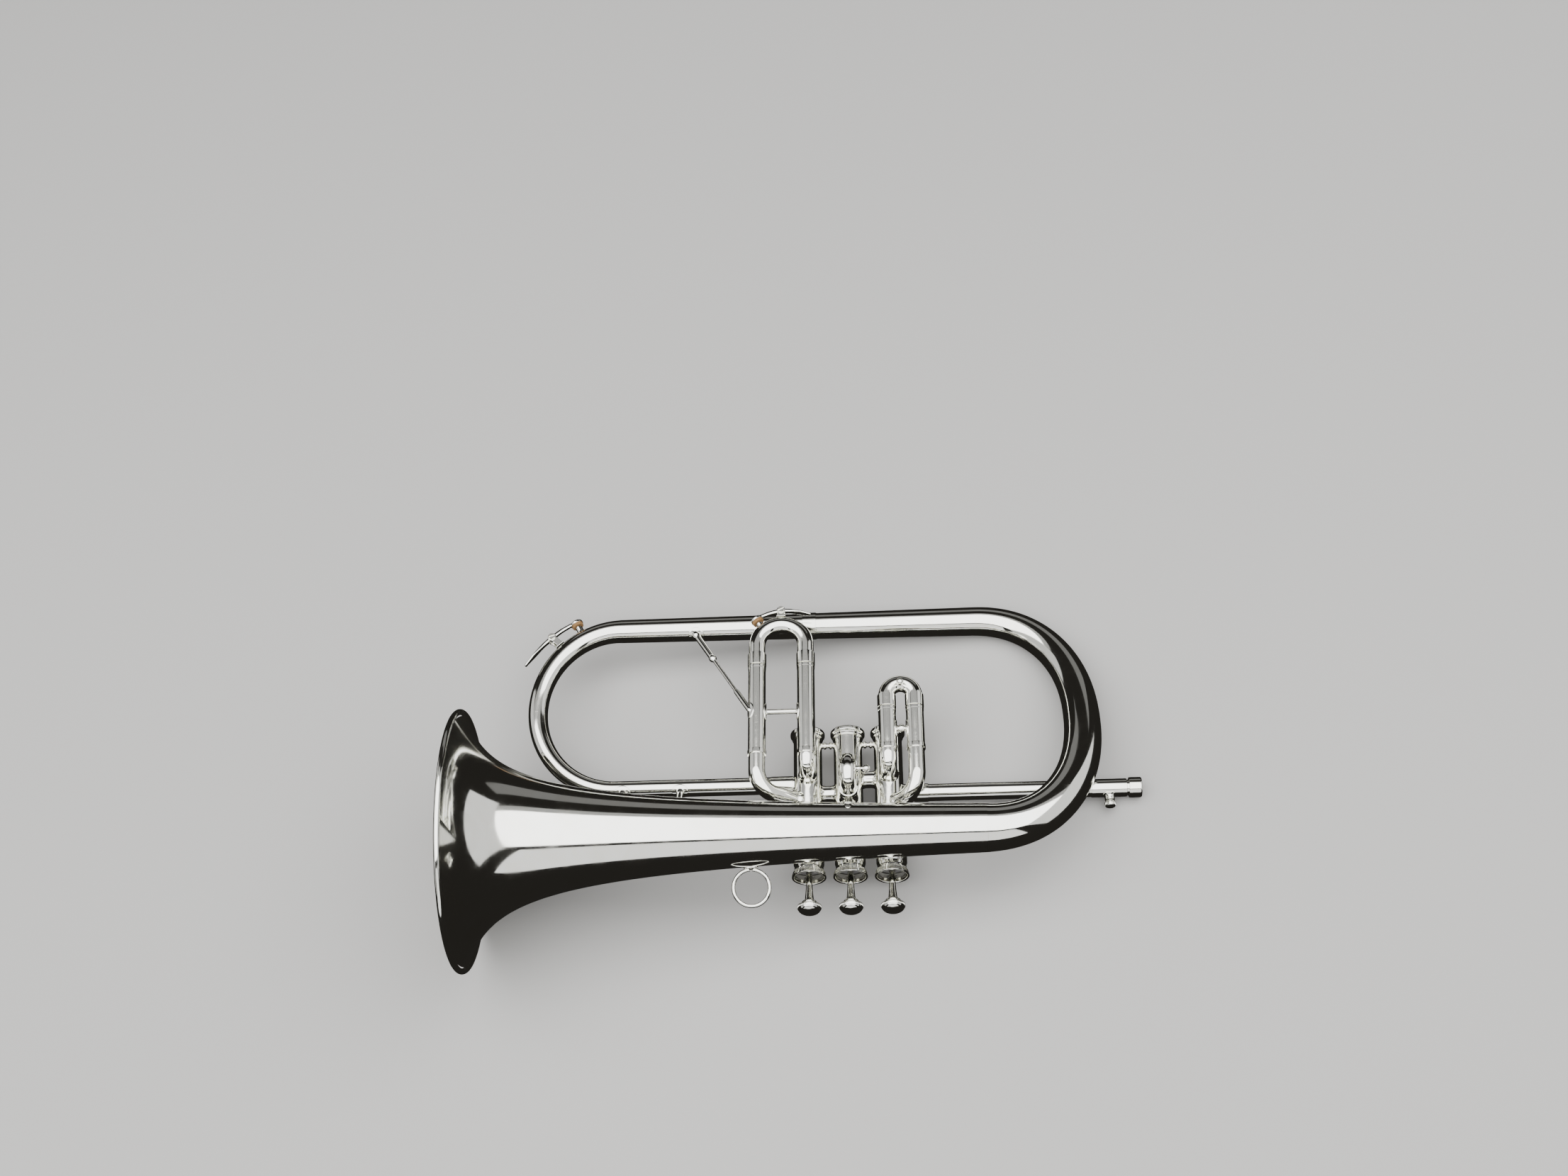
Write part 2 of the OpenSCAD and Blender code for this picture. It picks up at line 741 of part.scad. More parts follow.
casing_brace_y = 78.5;
casing_bead_r = 2.1;
casing_bead_step = 1.8;
module casing_braces() {
    for (i = [1, 2])
        color(silver)
            laid()
                translate([0, casing_brace_y, -valve_drop])
                    difference() {
                        mid_x = (valve_x(i) + valve_x(i + 1)) / 2;
                        union() {
                            along_x(valve_x(i + 1), valve_x(i), brace_rod_r, brace_rod_r);
                            for (side = [-1, 1])
                                translate([mid_x + side * casing_bead_step, 0, 0])
                                    rotate([0, 90, 0])
                                        sphere(casing_bead_r);
                        }
                        casing_cut(i, casing_brace_y);
                        casing_cut(i + 1, casing_brace_y);
                    }
}

// Slides: a leg runs down beside its casing and turns into it
module leg_sleeve(i, leg_x, port_y, bend_r, ring_y, sleeve_y) {
    reach = norm([valve_x(i) - leg_x, leg_rise]);
    color(silver)
        laid()
            translate([leg_x, 0, leg_z])
                rotate([0, leg_heading(i, leg_x), 0])
                    difference() {
                        union() {
                            along_y(port_y + bend_r, ring_y + through, tube_r);
                            along_y(ring_y, sleeve_y, sleeve_r);
                            along_y(ring_y, ring_y + ferrule_l / 3, ferrule_r);
                            along_y(sleeve_y - ferrule_l / 4, sleeve_y, ferrule_r - ferrule_rise / 2);
                            translate([bend_r, port_y + bend_r, 0])
                                rotate([0, 0, 180])
                                    quarter_rod(bend_r, tube_r);
                            translate([0, port_y, 0])
                                along_x(bend_r, reach, tube_r, tube_r);
                        }
                        along_y(port_y + bend_r, ring_y + through, bore_r);
                        along_y(ring_y, sleeve_y + through, sleeve_bore_r);
                        translate([bend_r, port_y + bend_r, 0])
                            rotate([0, 0, 180])
                                quarter_rod(bend_r, bore_r);
                        translate([0, port_y, 0])
                            along_x(bend_r, reach, bore_r, bore_r);
                        translate([reach, 0, 0])
                            along_y(-casing_top, casing_bottom, casing_r + solder);
                    }
}
module third_slide_sleeves() {
    leg_sleeve(3, valve_x(3), front_port_y, front_bend, third_ring_y, third_sleeve_y);
    leg_sleeve(3, third_leg_x, third_port_y, side_bend, third_ring_y, third_sleeve_y);
}
module first_slide_sleeves() {
    leg_sleeve(1, valve_x(1), front_port_y, front_bend, first_ring_y, first_sleeve_y);
    leg_sleeve(1, first_leg_x, first_port_y, side_bend, first_ring_y, first_sleeve_y);
}
module sleeve_stay(x0, x1, y, bead_size) {
    color(silver)
        laid()
            translate([0, y, leg_z])
                difference() {
                    union() {
                        along_x(x0, x1, brace_rod_r, brace_rod_r);
                        if (bead_size > brace_rod_r)
                            translate([(x0 + x1) / 2, 0, 0])
                                rotate([0, 90, 0])
                                    sphere(bead_size);
                    }
                    for (x = [x0, x1])
                        translate([x, 0, 0])
                            along_y(-ferrule_l, ferrule_l, sleeve_r + solder);
                }
}
module third_slide_stay() {
    sleeve_stay(third_leg_x, valve_x(3), third_stay_y, 0);
}
module first_slide_stay() {
    sleeve_stay(valve_x(1), first_leg_x, first_stay_y, brace_bead_r);
}
module slide_tube(ring_y, sleeve_y, bow_y) {
    difference() {
        union() {
            along_y(ring_y + clear, bow_y, slide_r);
            along_y(sleeve_y + clear, bow_y, tube_r);
            along_y(sleeve_y + clear, sleeve_y + ferrule_l, ferrule_r);
        }
        along_y(ring_y, bow_y + through, bore_r);
    }
}
module slide_tubes(x0, x1, ring_y, sleeve_y, bow_y) {
    color(silver)
        laid()
            for (x = [x0, x1])
                translate([x, 0, leg_z])
                    slide_tube(ring_y, sleeve_y, bow_y);
}
module third_slide_tubes() {
    slide_tubes(third_leg_x, valve_x(3), third_ring_y, third_sleeve_y, third_bow_y);
}
module first_slide_tubes() {
    slide_tubes(valve_x(1), first_leg_x, first_ring_y, first_sleeve_y, first_bow_y);
}
third_mid_x = (third_leg_x + valve_x(3)) / 2;
first_mid_x = (first_leg_x + valve_x(1)) / 2;
nipple_bore_r = 1.2;
module third_slide_bow() {
    color(silver)
        laid()
            translate([third_mid_x, third_bow_y, leg_z])
                difference() {
                    half_pipe(third_bow_r, tube_r, bore_r, 180);
                    translate([-third_cork_arm, 0, 0])
                        along_y(third_drain_y - through, third_bow_r + tube_r, nipple_bore_r);
                }
}
module first_slide_bow() {
    color(silver)
        laid()
            translate([first_mid_x, first_bow_y, leg_z])
                half_pipe(first_bow_r, tube_r, bore_r, 180);
}
// Pull knob: a bead and a ball on a neck, with its foot on the origin and standing along Z
knob_bead_r = 1.6;
module knob(neck) {
    cylinder(h = neck + knob_d / 2, r = knob_d / 4);
    translate([0, 0, knob_bead_r])
        sphere(knob_bead_r);
    translate([0, 0, neck + knob_d / 2])
        sphere(knob_d / 2);
}
first_knob_neck = 1.4;
first_knob_lean = 20;
module first_slide_knob() {
    color(silver)
        laid()
            translate([first_mid_x, first_bow_y + first_bow_r, leg_z])
                rotate([first_knob_lean, 0, 0])
                    translate([0, 0, tube_r + solder])
                        knob(first_knob_neck);
}
// Second slide: it stands straight up out of its casing
casing_top_z = casing_r - valve_drop;
second_sleeve_z = casing_top_z + second_sleeve_l;
second_bow_z = second_sleeve_z + clear + second_ferrule_l;
second_mid_y = (second_legs_y[0] + second_legs_y[1]) / 2;
second_bow_r = (second_legs_y[1] - second_legs_y[0]) / 2;
module second_slide_sleeves() {
    color(silver)
        laid()
            for (y = second_legs_y)
                difference() {
                    translate([0, y, -valve_drop])
                        cylinder(h = second_sleeve_z + valve_drop, r = sleeve_r);
                    translate([0, y, -valve_drop])
                        cylinder(h = second_sleeve_z + valve_drop + through, r = sleeve_bore_r);
                    translate([0, 0, -valve_drop])
                        along_y(-casing_top, casing_bottom, casing_r + solder);
                }
}
module second_slide_tubes() {
    color(silver)
        laid()
            for (y = second_legs_y)
                translate([0, y, casing_top_z + clear])
                    difference() {
                        union() {
                            cylinder(h = second_bow_z - casing_top_z - clear, r = slide_r);
                            translate([0, 0, second_sleeve_z - casing_top_z])
                                cylinder(h = second_ferrule_l, r = ferrule_r - ferrule_rise / 2);
                        }
                        translate([0, 0, -through])
                            cylinder(h = second_bow_z - casing_top_z + 2 * through, r = bore_r);
                    }
}
module second_slide_bow() {
    color(silver)
        laid()
            translate([0, second_mid_y, second_bow_z])
                rotate([90, 0, 90])
                    half_pipe(second_bow_r, tube_r, bore_r, 180);
}
second_knob_neck = 3.9;
second_knob_lean = 90;
module second_slide_knob() {
    color(silver)
        laid()
            translate([0, second_mid_y, second_bow_z + second_bow_r])
                rotate([0, second_knob_lean, 0])
                    translate([0, 0, tube_r + solder])
                        knob(second_knob_neck);
}

// Leadpipe, mouthpipe and lock screw
leadpipe_bore_r = mouthpipe_d / 2 + slide_gap;
leadpipe_sleeve_r = leadpipe_d / 2 + ferrule_rise;
lock_x = leadpipe_end_x - leadpipe_sleeve_l / 2;
lock_boss_h = 3;
lock_boss_wall = 1.6;
lock_boss_y = leadpipe_y - leadpipe_sleeve_r - lock_boss_h;
lock_boss_r = lock_d / 2 + lock_boss_wall;
module leadpipe() {
    start = valve_x(1);
    color(silver)
        laid()
            translate([0, leadpipe_y, -valve_drop])
                difference() {
                    union() {
                        along_x(start, leadpipe_end_x, leadpipe_d / 2, leadpipe_d / 2);
                        along_x(leadpipe_end_x - leadpipe_sleeve_l, leadpipe_end_x,
                            leadpipe_sleeve_r, leadpipe_sleeve_r);
                        translate([lock_x, 0, 0])
                            along_y(lock_boss_y - leadpipe_y, 0, lock_boss_r);
                    }
                    along_x(start, leadpipe_end_x + through, leadpipe_bore_r, leadpipe_bore_r);
                    translate([lock_x, 0, 0])
                        along_y(lock_boss_y - leadpipe_y - through, 0, lock_d / 2 + slide_gap);
                    casing_cut(1, leadpipe_y);
                }
}
module mouthpipe() {
    start = leadpipe_ring_x + ferrule_l;
    mouth = collar_x - receiver_l;
    color(silver)
        laid()
            translate([0, leadpipe_y, -valve_drop])
                difference() {
                    union() {
                        along_x(start, collar_x, mouthpipe_d / 2, mouthpipe_d / 2);
                        along_x(leadpipe_end_x + clear, collar_x, collar_d / 2, collar_d / 2);
                    }
                    along_x(start - through, mouth + through, mouthpipe_bore / 2, mouthpipe_bore / 2);
                    along_x(mouth, collar_x + through, receiver_d / 2, receiver_d / 2);
                }
}
lock_head_h = 4;
lock_edge = 0.6;
module lock_screw() {
    r = lock_head_d / 2;
    head = lock_boss_y - clear;
    tip = leadpipe_y - leadpipe_bore_r - clear;
    color(silver)
        laid()
            translate([lock_x, 0, -valve_drop])
                turned_y([
                    [0, head - lock_head_h],
                    [r - lock_edge, head - lock_head_h],
                    [r, head - lock_head_h + lock_edge],
                    [r, head - lock_edge],
                    [r - lock_edge, head],
                    [lock_d / 2, head],
                    [lock_d / 2, tip],
                    [0, tip]
                ]);
}

// Braces, stays and the little-finger ring
module bell_cut(x, span) {
    along_x(x - span, x + span, bell_r_at(x - span) + solder, bell_r_at(x + span) + solder);
}
foot_h = 1.2;
stay_bead_rise = 1.2;
module bell_stays() {
    way = [0, exit_y, -valve_drop];
    lean = atan2(-valve_drop, exit_y);
    tube_edge = norm(way) - exit_d / 2;
    color(silver)
        laid()
            for (d = stays_x) {
                x = -d;
                r = bell_r_at(x);
                difference() {
                    translate([x, 0, 0])
                        rotate([lean, 0, 0]) {
                            along_y(r - stay_foot_d / 2, tube_edge + exit_d / 4, stay_d / 2);
                            along_y(r - stay_foot_d / 2, r + foot_h, stay_foot_d / 2);
                            translate([0, (r + tube_edge) / 2, 0])
                                sphere(stay_d / 2 + stay_bead_rise);
                            along_y(tube_edge - foot_h, tube_edge + exit_d / 4, stay_foot_d / 2);
                        }
                    bell_cut(x, stay_foot_d);
                    translate([0, exit_y, -valve_drop])
                        along_x(x - stay_foot_d, x + stay_foot_d, exit_d / 2 + solder, exit_d / 2 + solder);
                }
            }
}
// Stay between the middle casing and the bell, with a foot plate that wraps up the bell's side
stay_plate = 0.9;
stay_plate_w = 9;
stay_plate_angles = [-72, 62];
valve_stay_lean = -50;
module valve_stay() {
    reach = valve_drop / sin(-valve_stay_lean);
    color(silver)
        laid()
            difference() {
                union() {
                    translate([-stay_plate_w / 2, 0, 0])
                        rotate([stay_plate_angles[0], 0, 0])
                            rotate([90, 0, 90])
                                rotate_extrude(angle = stay_plate_angles[1] - stay_plate_angles[0])
                                    translate([bell_r_at(0), 0])
                                        square([solder + stay_plate, stay_plate_w]);
                    rotate([valve_stay_lean, 0, 0])
                        along_y(bell_r_at(0), reach, stay_d / 2);
                }
                bell_cut(0, stay_plate_w);
                translate([0, 0, -valve_drop])
                    along_y(-casing_top, casing_bottom, casing_r + solder);
            }
}
// The ring's foot is a plate with round ends, bent round the bell
ring_plate = 0.9;
ring_plate_l = 9;
ring_plate_w = 6;
ring_neck = 0.6;
ring_neck_r = 3;
module little_finger_ring() {
    wire_r = ring_wire / 2;
    mid_r = ring_d / 2 - wire_r;
    bell_side = bell_r_at(-ring_x);
    plate_x = (ring_plate_l - ring_plate_w) / 2;
    plate_y = bell_side + solder + ring_plate;
    plate_r = [for (x = [-ring_plate_l, ring_plate_l]) bell_r_at(x - ring_x) + solder + ring_plate];
    neck_y = plate_y + ring_neck;
    color(silver)
        laid()
            difference() {
                translate([-ring_x, 0, 0])
                    rotate([ring_lean, 0, 0]) {
                        translate([0, -neck_y - mid_r, 0])
                            rotate_extrude()
                                translate([mid_r, 0])
                                    circle(wire_r);
                        translate([0, -neck_y, 0])
                            rotate([-90, 0, 0])
                                cylinder(h = ring_neck + ring_plate, r1 = wire_r, r2 = ring_neck_r);
                        intersection() {
                            along_x(-ring_plate_l, ring_plate_l, plate_r[0], plate_r[1]);
                            union() {
                                for (x = [-plate_x, plate_x])
                                    translate([x, 0, 0])
                                        along_y(-plate_y - ring_wire, -bell_side / 2, ring_plate_w / 2);
                                translate([-plate_x, -plate_y - ring_wire, -ring_plate_w / 2])
                                    cube([2 * plate_x, plate_y + ring_wire - bell_side / 2, ring_plate_w]);
                            }
                        }
                    }
                bell_cut(-ring_x, ring_plate_l);
            }
}
// Diagonal brace: a round flange on the lower tube, and a turned rod across to the third slide
brace_lean = 30;
brace_flange_r = 5.4;
brace_ends_r = [2, 1.9];
brace_thin_r = 1.15;
brace_steps = [0.32, 0.76];
brace_seat_side = 40;
lower_grow = (tube_big_d - tube_small_d) / (front_x - tube_joint_x);
function lower_r(x) = (tube_small_d + lower_grow * (x + front_x)) / 2;
module diagonal_brace() {
    tube_side = lower_r(-brace_x);
    out = [0, -cos(brace_lean), sin(brace_lean)];
    axis = [-brace_x, wrap, -valve_drop];
    foot = axis + tube_side * out;
    leg = [third_leg_x, brace_y, leg_z];
    seat = leg + sleeve_r * [-cos(brace_seat_side), 0, sin(brace_seat_side)];
    way = seat - foot;
    thick = foot + brace_steps[0] * way;
    thin = foot + brace_steps[1] * way;
    color(silver)
        laid()
            difference() {
                union() {
                    rod(axis + tube_side / 2 * out, foot + foot_h * out, brace_flange_r);
                    rod(foot, thick, brace_ends_r[0]);
                    rod(thick - brace_thin_r * unit(way), thin + brace_thin_r * unit(way), brace_thin_r);
                    rod(thin, leg, brace_ends_r[1]);
                    translate(thick)
                        sphere(brace_ends_r[0] + stay_bead_rise);
                    translate(thin)
                        sphere(brace_ends_r[1]);
                }
                translate([0, wrap, -valve_drop])
                    along_x(-front_x, -tube_joint_x, tube_small_d / 2 + solder, tube_big_d / 2 + solder);
                translate([third_leg_x, 0, leg_z])
                    along_y(brace_y - ferrule_l, third_sleeve_y, sleeve_r + solder);
            }
}
// Stay that holds the leadpipe under the rear bow
stay_turn = acos(pow(1 - 2 * leadpipe_y / (bow_span * cos(bow_tilt)), bow_square / 2));
module leadpipe_stay() {
    mid = in_horn(bow_point(stay_turn));
    top = mid.z - bow_r(stay_turn) / cos(bow_tilt) - clear;
    cut_r = leadpipe_d / 2 + solder;
    color(silver)
        laid()
            difference() {
                translate([mid.x, leadpipe_y, -valve_drop])
                    cylinder(h = top + valve_drop, r = stay_d / 2);
                translate([0, leadpipe_y, -valve_drop])
                    along_x(mid.x - stay_d, mid.x + stay_d, cut_r, cut_r);
            }
}

// Water keys: X runs from the cork to the touch, Z stands out from the tube, Y is the pin
cheek = 1.2;
cheek_w = 4.6;
hub_r = 2;
arm_w = 3;
arm_h = 1.5;
cup_h = 1.8;
cup_rim = 0.4;
nipple_r = 2.2;
saddle_h = 1;
pin_head_h = 1;
pin_head_rise = 1.3;
pin_end = 0.4;
pin_slot_w = 0.6;
pin_slot_h = 0.4;
third_drain_y = sqrt(pow(third_bow_r + bore_r, 2) - pow(third_cork_arm, 2));
// Outer line of the front bow seen from the front key: along the tube, and out from it
front_key_foot = front_point(front_key_turn) + front_out(front_key_turn) * front_r(front_key_turn);
front_key_side = unit(front_way(front_key_turn));
front_line = [
    for (turn = [0 : 2 : front_key_turn])
        let (p = front_point(turn) + front_out(turn) * front_r(turn) - front_key_foot)
            [p * front_key_side, p * front_out(front_key_turn)]
];
function front_drop(arm) = -lookup(-arm, front_line);
module third_key_frame() {
    translate([third_mid_x, third_bow_y + third_bow_r + tube_r, leg_z])
        rotate([-90, 0, 0])
            children();
}
module front_key_frame() {
    out = front_out(front_key_turn);
    translate([front_key_foot.x, front_key_foot.y, -valve_drop])
        rotate([90, 0, atan2(out.y, out.x) + 90])
            children();
}
module key_saddle(pin_h, base_gap) {
    difference() {
        union() {
            translate([-cheek_w / 2, -key_gap / 2 - cheek, base_gap])
                cube([cheek_w, key_gap + 2 * cheek, saddle_h]);
            for (side = [-1, 1])
                translate([0, side * (key_gap + cheek) / 2, 0]) {
                    translate([-cheek_w / 2, -cheek / 2, base_gap])
                        cube([cheek_w, cheek, pin_h - base_gap]);
                    translate([0, -cheek / 2, pin_h])
                        rotate([-90, 0, 0])
                            cylinder(h = cheek, r = cheek_w / 2);
                }
        }
        translate([0, 0, pin_h])
            along_y(-key_gap, key_gap, key_pin_d / 2 + slide_gap);
    }
}
// A key's nipple, cork and cup lie square to the cork's path about the pin
function key_lean(pin_h, arm, seat_z) = atan2(pin_h - seat_z, arm);
module on_seat(pin_h, arm, seat_z) {
    translate([-arm, 0, seat_z])
        rotate([0, -key_lean(pin_h, arm, seat_z), 0])
            children();
}
module key_nipple(pin_h, arm, seat_z, l) {
    on_seat(pin_h, arm, seat_z)
        translate([0, 0, -l])
            difference() {
                cylinder(h = l, r = nipple_r);
                translate([0, 0, -through])
                    cylinder(h = l + 2 * through, r = nipple_bore_r);
            }
}
// A pin with a slotted head, which the turn brings to the upper side of the horn
module key_pin(pin_h, turn) {
    side = key_gap / 2 + cheek;
    head_y = side + solder;
    head_r = key_pin_d / 2 + pin_head_rise;
    translate([0, 0, pin_h])
        rotate([0, 0, turn]) {
            along_y(-side - pin_end, head_y + pin_head_h / 2, key_pin_d / 2);
            difference() {
                along_y(head_y, head_y + pin_head_h, head_r);
                translate([-2 * head_r, head_y + pin_head_h - pin_slot_h, -pin_slot_w / 2])
                    cube([4 * head_r, pin_head_h, pin_slot_w]);
            }
        }
}
// The cork's underside, at rest, just clears the nipple
module key_cork(pin_h, arm, seat_z) {
    on_seat(pin_h, arm, seat_z)
        translate([0, 0, clear])
            cylinder(h = cork_h, r = cork_d / 2);
}
module key_lever(pin_h, cork_arm, touch_arm, seat_z, touch_z) {
    lean = key_lean(pin_h, cork_arm, seat_z);
    out = [-sin(lean), 0, cos(lean)];
    side = [cos(lean), 0, sin(lean)];
    hub = [0, 0, pin_h];
    hub_top = hub + [0, 0, hub_r - arm_h / 2];
    cup_edge = [-cork_arm, 0, seat_z] + (clear + cork_h + arm_h / 2) * out + cork_d / 2 * side;
    touch = [touch_arm, 0, touch_z];
    difference() {
        union() {
            translate(hub)
                along_y(-key_gap / 2 + clear, key_gap / 2 - clear, hub_r);
            on_seat(pin_h, cork_arm, seat_z)
                translate([0, 0, clear + cork_h])
                    cylinder(h = cup_h, r = cork_d / 2 + cup_rim);
            key_arm(hub_top, cup_edge);
            key_arm(hub_top, touch);
            translate(touch - [arm_w, 0, arm_h / 2])
                cylinder(h = arm_h, r = arm_w);
        }
        translate(hub)
            along_y(-key_gap, key_gap, key_pin_d / 2 + slide_gap);
    }
}
module key_arm(from, to) {
    way = to - from;
    translate(from)
        rotate([0, atan2(-way.z, way.x), 0])
            translate([0, -arm_w / 2, -arm_h / 2])
                cube([norm(way), arm_w, arm_h]);
}
third_seat_z = -3.4;
third_nipple_l = 6;
third_touch_z = 2.6;
front_seat_z = 2.3;
front_lean = key_lean(front_pin_h, front_cork_arm, front_seat_z);
// The front key's nipple stops just outside the bow
front_fall = front_seat_z + front_drop(front_cork_arm - front_seat_z * tan(front_lean));
front_nipple_l = front_fall / cos(front_lean) - clear;
front_touch_z = 6.6;
module third_key_saddle() {
    color(silver)
        laid()
            difference() {
                third_key_frame() {
                    key_saddle(third_pin_h, -saddle_h / 2);
                    key_nipple(third_pin_h, third_cork_arm, third_seat_z, third_nipple_l);
                }
                translate([third_mid_x, third_bow_y, leg_z])
                    rotate_extrude()
                        translate([third_bow_r, 0])
                            circle(tube_r + solder);
            }
}
module third_key_pin() {
    color(silver)
        laid()
            third_key_frame()
                key_pin(third_pin_h, 180);
}
module third_key_lever() {
    color(silver)
        laid()
            third_key_frame()
                key_lever(third_pin_h, third_cork_arm, third_touch_arm, third_seat_z, third_touch_z);
}
module third_key_cork() {
    color(cork_tan)
        laid()
            third_key_frame()
                key_cork(third_pin_h, third_cork_arm, third_seat_z);
}
module front_key_saddle() {
    color(silver)
        laid()
            front_key_frame() {
                key_saddle(front_pin_h, clear);
                key_nipple(front_pin_h, front_cork_arm, front_seat_z, front_nipple_l);
            }
}
module front_key_pin() {
    color(silver)
        laid()
            front_key_frame()
                key_pin(front_pin_h, 0);
}
module front_key_lever() {
    color(silver)
        laid()
            front_key_frame()
                key_lever(front_pin_h, front_cork_arm, front_touch_arm, front_seat_z, front_touch_z);
}
module front_key_cork() {
    color(cork_tan)
        laid()
            front_key_frame()
                key_cork(front_pin_h, front_cork_arm, front_seat_z);
}

bell();
bell_rim();
rear_bow();
lower_branch();
lower_tube();
front_bow();
exit_tube();
tube_ferrules();
valve_casing(1);  // valve_casing_1
valve_casing(2);  // valve_casing_2
valve_casing(3);  // valve_casing_3
bottom_caps();
top_caps();
cap_felts();
valve_spring(1);  // valve_spring_1
valve_spring(2);  // valve_spring_2
valve_spring(3);  // valve_spring_3
valve_knuckles();
casing_braces();
third_slide_sleeves();
third_slide_stay();
first_slide_sleeves();
first_slide_stay();
second_slide_sleeves();
leadpipe();
diagonal_brace();
bell_stays();
valve_stay();
little_finger_ring();
leadpipe_stay();
front_key_saddle();
front_key_pin();
front_key_lever();
front_key_cork();
piston(1);  // piston_1
piston_felt(1);  // piston_felt_1
valve_stem(1);  // valve_stem_1
finger_button(1);  // finger_button_1
piston(2);  // piston_2
piston_felt(2);  // piston_felt_2
valve_stem(2);  // valve_stem_2
finger_button(2);  // finger_button_2
piston(3);  // piston_3
piston_felt(3);  // piston_felt_3
valve_stem(3);  // valve_stem_3
finger_button(3);  // finger_button_3
third_slide_bow();
third_slide_tubes();
third_key_saddle();
third_key_pin();
third_key_lever();
third_key_cork();
first_slide_bow();
first_slide_tubes();
first_slide_knob();
second_slide_bow();
second_slide_tubes();
second_slide_knob();
mouthpipe();
lock_screw();
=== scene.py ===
# Flugelhorn in silver plate, lying on its side: smooth tubing, turned fittings and a polished finish
import json
import math

import bmesh
import bpy
import numpy as np
from mathutils import Matrix, Vector


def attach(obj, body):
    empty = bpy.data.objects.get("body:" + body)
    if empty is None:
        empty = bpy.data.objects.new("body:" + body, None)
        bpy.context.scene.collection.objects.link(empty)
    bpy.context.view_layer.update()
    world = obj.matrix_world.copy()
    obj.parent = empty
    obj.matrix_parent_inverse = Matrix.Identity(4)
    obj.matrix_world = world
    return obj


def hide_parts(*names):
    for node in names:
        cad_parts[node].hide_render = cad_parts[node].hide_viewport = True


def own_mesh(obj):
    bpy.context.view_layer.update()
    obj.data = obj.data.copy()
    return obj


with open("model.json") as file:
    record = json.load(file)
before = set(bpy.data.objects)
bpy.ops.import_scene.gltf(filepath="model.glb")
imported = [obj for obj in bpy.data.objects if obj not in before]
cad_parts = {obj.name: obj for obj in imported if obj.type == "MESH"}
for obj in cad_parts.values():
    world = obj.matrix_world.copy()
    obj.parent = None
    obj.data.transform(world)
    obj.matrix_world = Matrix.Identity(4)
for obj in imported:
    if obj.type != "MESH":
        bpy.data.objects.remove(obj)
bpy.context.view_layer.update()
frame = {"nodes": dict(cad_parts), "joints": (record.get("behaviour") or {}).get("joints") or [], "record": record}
print("frame loaded:", len(frame["nodes"]), "nodes")

# Sizes in millimetres on the horn's own axes: x to the mouthpiece, y from the bell to the lower tube, z up
horn = {
    "bellReach": 234.5, "bellR": 80.0, "beadR": 1.9, "flareDepth": 15.2, "flarePower": 0.54, "sheet": 0.6,
    "wrap": 168.5, "valveZ": -37.0, "legZ": -15.5, "exitY": 51.0, "leadY": 43.5, "socketX": 171.85,
    "tubeR": 5.25, "slideR": 5.1, "sleeveR": 5.6, "ferruleR": 5.95, "exitR": 5.5, "leadR": 5.4,
    "casingR": 9.0,
}
valveXs = {1: 25.5, 2: 0.0, 3: -25.5}
wrapY, valveZ, legZ, leadY, exitY = (horn[key] for key in ("wrap", "valveZ", "legZ", "leadY", "exitY"))
tubeR, slideR, sleeveR, ringR = (horn[key] for key in ("tubeR", "slideR", "sleeveR", "ferruleR"))
exitR, leadR, casingR = (horn[key] for key in ("exitR", "leadR", "casingR"))
capSides, buttonSides, pipeSides, feltSides, postSides, smallSides = 96, 80, 72, 64, 48, 40
alongX, alongY, alongZ = np.eye(3)
joints = {j["name"]: j for j in frame["joints"]}
socket = next(m for m in frame["record"]["mounts"] if m["name"] == "mouthpiece_socket")
socketMiddle = np.array([horn["socketX"], leadY, valveZ])


def unit(v):
    return np.asarray(v, float) / np.linalg.norm(v)


# The joints' directions give the horn's axes in the lying frame, and its socket gives the origin
alongHorn = unit(joints["mouthpipe_pull"]["axis"])
acrossHorn = unit(joints["valve_1_press"]["axis"])
hornAxes = np.stack([alongHorn, acrossHorn, np.cross(alongHorn, acrossHorn)], 1)
hornOrigin = np.array(socket["pos_m"]) - hornAxes @ socketMiddle / 1000


def placed(points):
    return np.asarray(points, float) / 1000 @ hornAxes.T + hornOrigin


def show(thing):
    bpy.context.scene.collection.objects.link(thing)
    return thing


# Finishes
def setInputs(node, values):
    for key, value in values.items():
        node.inputs[key].default_value = value


def addNode(tree, kind, values=None, **settings):
    node = tree.nodes.new(kind)
    for key, value in settings.items():
        setattr(node, key, value)
    setInputs(node, values or {})
    return node


def link(tree, source, target):
    tree.links.new(source, target)


# Links given as a node, its output, the next node and its input
def linkAll(tree, links):
    for source, output, target, entry in links:
        link(tree, source.outputs[output], target.inputs[entry])


def newGroup(name, inputs, outputs):
    group = bpy.data.node_groups.new(name, "ShaderNodeTree")
    for label, kind, value in inputs:
        group.interface.new_socket(label, in_out="INPUT", socket_type=kind).default_value = value
    for label, kind in outputs:
        group.interface.new_socket(label, in_out="OUTPUT", socket_type=kind)
    return group, group.nodes.new("NodeGroupInput"), group.nodes.new("NodeGroupOutput")


def newFinish(name):
    finish = bpy.data.materials.new(name)
    finish.use_nodes = True
    return finish, finish.node_tree, finish.node_tree.nodes["Principled BSDF"]


